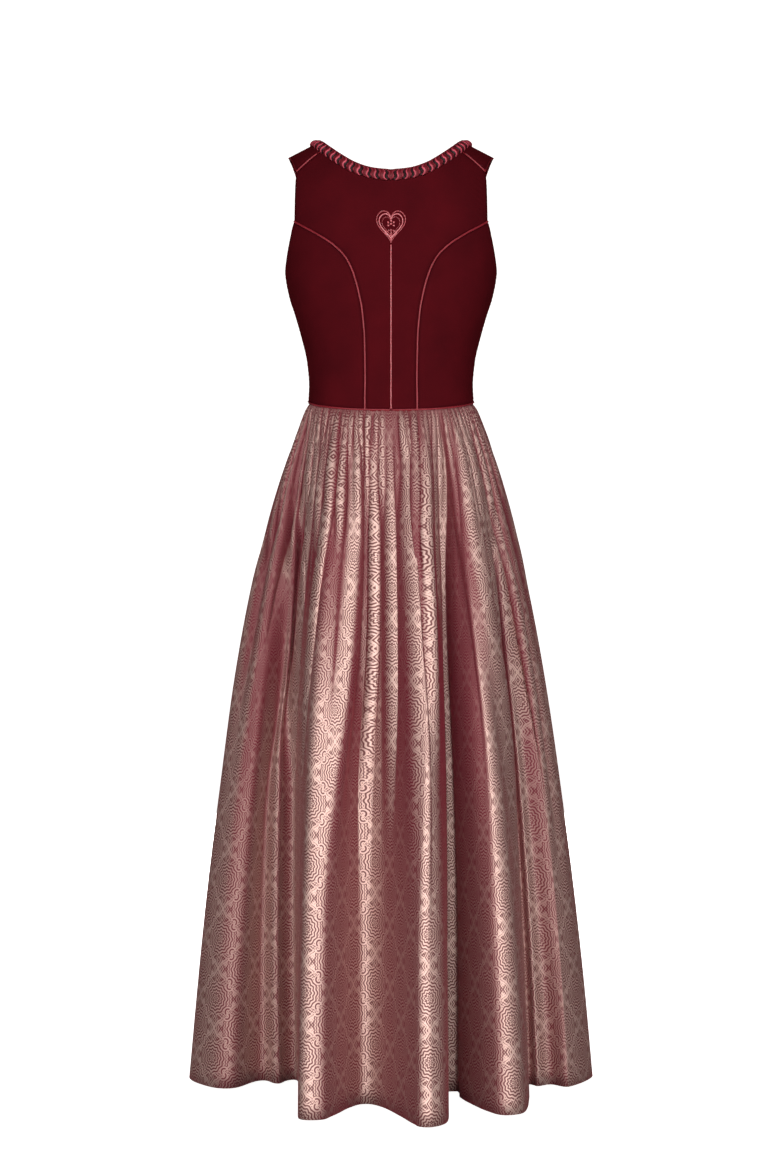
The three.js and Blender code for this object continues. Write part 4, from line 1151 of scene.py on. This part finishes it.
def ruched_velvet():
    """The trim's velvet: a painted glint along each lobe's rim and painted shade deep in each gap."""
    bench = Bench("velvet_trim")
    pile = bench.noise(1100.0)
    base = bench.mix(pile, colour(76, 4, 15), colour(102, 12, 24))
    # Painted highlight along each rim, then painted shade in each gap.
    base = bench.mix(bench.mark("glint"), base, colour(190, 74, 90))
    base = bench.mix(bench.mark("shade") * 0.95, base, colour(18, 0, 2))
    return bench.finish(bench.surface(
        base, 0.6, Specular_IOR_Level=0.25, Normal=bench.bump(pile, 0.4, 0.0004),
        Sheen_Weight=0.06, Sheen_Roughness=0.4, Sheen_Tint=colour(240, 90, 105)))


finish_of = {"velvet": velvet(), "velvet_trim": ruched_velvet()}
print("finishes:", list(finish_of))

# %% [markdown]
# ## Satin, beads and thread
#
# The cord is covered in satin cut on the bias, whose threads run aslant round it: the fine
# slanting lines are a wave of the piece's own cloth coordinates. The beads are lined glass, pink
# inside with a clear shine, and the cord in the bead work is twisted thread.


# %% Satin and beads
def satin():
    """Bias satin: a dull red, with the slanting threads as a fine wave in the relief."""
    bench = Bench("satin_piping")
    uv = bench.node("UVMap", {"uv_map": "cloth"})
    bands = {"wave_type": "BANDS", "bands_direction": "DIAGONAL"}
    thread = bench.node("TexWave", bands, Vector=uv, Scale=900.0, Distortion=0.6)
    base = bench.mix(bench.noise(60.0), colour(102, 16, 24), colour(142, 40, 50))
    return bench.finish(bench.surface(
        base, 0.4, Specular_IOR_Level=0.35, Normal=bench.bump(thread, 0.3, 0.0002)))


def beads():
    """Glass lined with pink: patches from bead to bead under a clear coat."""
    bench = Bench("beads")
    base = bench.mix(bench.noise(420.0, 1.0), colour(150, 44, 54), colour(190, 98, 102))
    return bench.finish(bench.surface(base, 0.3, Coat_Weight=0.6, Coat_Roughness=0.12))


finish_of |= {"satin_piping": satin(), "beads": beads()}
print("finishes:", list(finish_of))

# %% [markdown]
# ## The jacquard
#
# A jacquard figure is woven, not printed: where the figure lies the champagne weft floats over
# the berry ground and shines. The repeat is a half drop of 88 mm, as is usual for an ogee.
# Every motif is a formula in the millimetres of the cloth, so the figure runs down the threads
# and bends with the folds. On a fold's flank and in the hollow between two gathers, less weft and
# a brighter crimson ground are painted as sheen and shade: that mark comes from the shape of the
# skirt and not from the view.


# %% Places and lines of the figure
REPEAT = 88.0


def rings(distance, pitch):
    """Soft lines a pitch apart: (1 + cos(2 pi d / pitch)) / 2."""
    return (distance * (2 * np.pi / pitch)).cos() * 0.5 + 0.5


def half_drop(u, v):
    """Place from the nearest motif centre. Centres lie at (0, 0) and (half, half), and the first
    is nearer where |a| + |b| is under half a repeat."""
    half = REPEAT / 2
    a, b = u.wrap(-half, half), v.wrap(-half, half)
    c, d = (u + half).wrap(-half, half), (v + half).wrap(-half, half)
    near = (abs(a) + abs(b)).below(half, 0.4)
    return c + (a - c) * near, d + (b - d) * near


def distance(a, b):
    """The length of (a, b)."""
    return (a * a + b * b) ** 0.5


print("one repeat is", REPEAT, "mm")


# %% The jacquard
def woven_figure(u, v):
    """Where the weft floats, from 0 to 1, at u, v millimetres along the cloth. The field is a
    sum of cosines with its crests on the motif centres, and its contour lines make the
    filigree. Over it lie scalloped arcs round a small rose, curls on four sides, leaves above
    and below, and the line of the ogee."""
    x, y = half_drop(u, v)
    ax, ay = abs(x), abs(y)
    turn = 2 * np.pi / REPEAT
    diaper = (x * (2 * np.pi / 4.2)).cos() * (y * (2 * np.pi / 4.8)).cos() * 0.5 + 0.5
    field = (x * (3 * turn)).cos() * (y * turn).cos() + (x * (2 * turn)).cos() * 0.6
    field = field + (x * turn).cos() * (y * (3 * turn)).cos() * 0.7
    figure = rings(field, 0.55) * 0.46 + diaper * 0.54
    arcs = distance(x, y * 0.92) - (y.angle(x) * 12.0).cos() * 0.9
    figure = figure.towards(rings(arcs, 4.5) * 0.8 + diaper * 0.2, arcs.below(22.5, 1.2))
    rose = distance(x, y) - (y.angle(x) * 6.0).cos() * 1.5
    figure = figure.towards(rings(rose, 4.4), rose.below(7.4, 0.8))
    curl_x, curl_y = ax - 23.0, ay - 18.0
    curl_r = distance(curl_x, curl_y)
    spiral = curl_r + curl_y.angle(curl_x) * (4.6 / (2 * np.pi))
    figure = figure.towards(rings(spiral, 4.6), curl_r.below(7.6, 0.8))
    leaf = ax * 1.25 + abs(ay - 32.0) * 0.75
    figure = figure.towards(rings(leaf, 4.6), leaf.below(9.6, 0.8))
    ogee = abs(ax + ay + (ax * 0.28).sin() * 2.0 - 42.5)
    return figure.towards(1.0, ogee.below(1.2, 1.0))


def jacquard():
    """The skirt's cloth: a dull crimson ground and a shining champagne weft, mixed by the
    figure, with less weft and a brighter ground where the skirt's mark paints sheen and shade."""
    bench = Bench("jacquard")
    uv = bench.node("UVMap", {"uv_map": "cloth"})
    u, v = (bench.node("SeparateXYZ", {}, uv, out=axis) * 1000.0 for axis in "XY")
    figure = woven_figure(u, v)
    threads = (u * (2 * np.pi / 0.9)).cos() * (v * (2 * np.pi / 0.7)).cos()
    cloudy, flank = bench.noise(30.0, 3.0), bench.mark("flank")
    ground_colour = bench.mix(cloudy, colour(70, 9, 20), colour(86, 14, 28))
    # Painted sheen and shade: a brighter crimson ground on the flanks of folds and in the hollows.
    ground_colour = bench.mix(flank, ground_colour, colour(96, 14, 34))
    weft_colour = bench.mix(cloudy, colour(208, 174, 164), colour(222, 190, 178))
    normal = bench.bump(figure + threads * 0.25, 0.35, 0.0003)
    ground = bench.surface(ground_colour, 0.6, Normal=normal, Specular_IOR_Level=0.15, Sheen_Weight=0.35,
                           Sheen_Roughness=0.4, Sheen_Tint=colour(190, 30, 66))
    weft = bench.surface(weft_colour, 0.6, Normal=normal, Metallic=0.65)
    raised = 1.0 - figure.below(0.5, 0.4)
    # Less weft where sheen and shade are painted.
    shown = (raised * 0.78 + 0.12) * (1.0 - flank * 0.8)
    return bench.finish(bench.node("MixShader", {}, shown, ground, weft))


finish_of["jacquard"] = jacquard()
print("the jacquard takes", len(finish_of["jacquard"].node_tree.nodes), "nodes")

# %% [markdown]
# ## Dressing the frame
#
# Each piece stands for its solid and rides on the dress. A panel's cut is its own flat size, so
# the area of each bodice panel's shape is worked out and printed. The skirt's two widths are as
# wide at the hem as their cloth is there, as long as the skirt, and gored: their waist edge is cut
# to seven tenths of the hem, so that the area is 0.85 of width times length.


# %% Sheets and their cuts
FLARE_SHARE = 0.85


def made_of(obj, slot):
    """Gives a piece its finish and hangs it on the dress."""
    obj.data.materials.clear()
    obj.data.materials.append(finish_of[slot])
    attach(obj, "root")


def flat_size(obj):
    """Width, length and area of a panel's mid surface in metres, before its wall is added."""
    mesh = obj.data
    area = np.zeros(len(mesh.polygons))
    mesh.polygons.foreach_get("area", area)
    uv = np.zeros(2 * len(mesh.loops))
    mesh.uv_layers["cloth"].data.foreach_get("uv", uv)
    width, length = np.ptp(uv.reshape(-1, 2), axis=0)
    return float(width), float(length), float(area.sum())


for name, obj in bodice.items():
    made_of(obj, "velvet")
    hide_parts(name)
    width, length, area = flat_size(obj)
    print(name, "cut", round(width, 3), "by", round(length, 3), "m, area", round(area, 4))
for name, obj in skirt.items():
    made_of(obj, "jacquard")
    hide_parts(name)
    width, length = cuts[name]
    area = FLARE_SHARE * width * length
    print(name, "cut", round(width, 3), "by", round(length, 3), "m, gored")

# %% Cords, trim and beads
for name, obj in piping.items():
    made_of(obj, "satin_piping")
    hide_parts(name)
for obj in (ruche, neck_roll):
    made_of(obj, "velvet_trim")
for obj in (bead_line, bead_thread, ornament_beads, *heart_cords):
    made_of(obj, "beads")
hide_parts("neck_ruche")
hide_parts("bead_line_back")
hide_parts("ornament_back")
print("pieces dressed:", len(bodice) + len(skirt) + len(piping) + 5 + len(heart_cords))

# %% [markdown]
# ## Floor, light and camera
#
# The dress hangs as on an unseen figure before a pale sweep. A broad soft panel of light and two
# smaller ones stand behind the wearer, where the camera is, so that each fold has a light crest
# and a dark flank. A fourth lights the front for the views from there.


# %% The sweep
FLOOR_Z = -1.392
FLOOR_R, BEND_R, BEND_TALL, WALL_TALL = 4.6, 1.6, 1.6, 5.0


def sweep():
    """A round floor that curves up into a wall: radius against height along a quarter circle."""
    turn = np.linspace(0, 2 * np.pi, 97)[:, None]
    bend = np.linspace(0, np.pi / 2, 24)
    radius = np.concatenate([[0], FLOOR_R + BEND_R * np.sin(bend), [FLOOR_R + BEND_R]])[None]
    height = np.concatenate([[0], BEND_TALL * (1 - np.cos(bend)), [WALL_TALL]])[None] + FLOOR_Z
    grid = np.stack(np.broadcast_arrays(radius * np.cos(turn), radius * np.sin(turn), height), axis=-1)
    return new_mesh("sweep", grid.reshape(-1, 3) / MM, grid_faces(*grid.shape[:2]))


backdrop = sweep()
bench = Bench("backdrop")
tone = bench.mix(bench.noise(1.5), colour(236, 234, 232), colour(242, 240, 238))
paper = bench.surface(tone, 0.9, Emission_Color=tone, Emission_Strength=1.15)
backdrop.data.materials.append(bench.finish(paper))
backdrop.visible_diffuse = backdrop.visible_glossy = False
print("the sweep is", 2 * (FLOOR_R + BEND_R), "m wide")


# %% The lights
def panel_light(name, place, size, power, aim=(0.0, 0.0, -0.75)):
    """A soft square light that looks at aim."""
    lamp = bpy.data.lights.new(name, "AREA")
    lamp.size, lamp.energy = size, power
    obj = bpy.data.objects.new(name, lamp)
    obj.location = place
    x, y, z = np.array(place) - np.array(aim)
    obj.rotation_euler = (float(np.arctan2(np.hypot(x, y), z)), 0.0, float(np.arctan2(x, -y)))
    obj.visible_camera = False
    bpy.context.scene.collection.objects.link(obj)


panel_light("key", (-2.5, 3.9, -0.5), 2.0, 92.0)
panel_light("broad", (0.1, 4.7, -0.3), 3.2, 262.0)
panel_light("fill", (2.6, 3.8, -0.6), 2.0, 76.0)
panel_light("front", (0.0, -4.6, -0.4), 1.6, 240.0)
world = bpy.data.worlds.new("room")
world.use_nodes = True
world.node_tree.nodes["Background"].inputs[0].default_value = (0.02, 0.018, 0.019, 1.0)
bpy.context.scene.world = world
bpy.context.scene.view_settings.view_transform = "Standard"
print("lights:", len(bpy.data.lights))

# %% The camera
lens = bpy.data.cameras.new("camera")
lens.lens, lens.sensor_fit = 79.2, "VERTICAL"
lens.sensor_height = lens.sensor_width = 36.0
camera = bpy.data.objects.new("camera", lens)
camera.location = (0.0, 3.8, -0.651)
camera.rotation_euler = (np.pi / 2, 0.0, np.pi)
bpy.context.scene.collection.objects.link(camera)
bpy.context.scene.camera = camera
print("the camera stands", camera.location.y, "m behind the dress")

# %% [markdown]
# ## The size of the finished dress
#
# The box round the finished surfaces should be that of the solids, apart from a few millimetres
# of gathers and beads.

# %% [markdown]
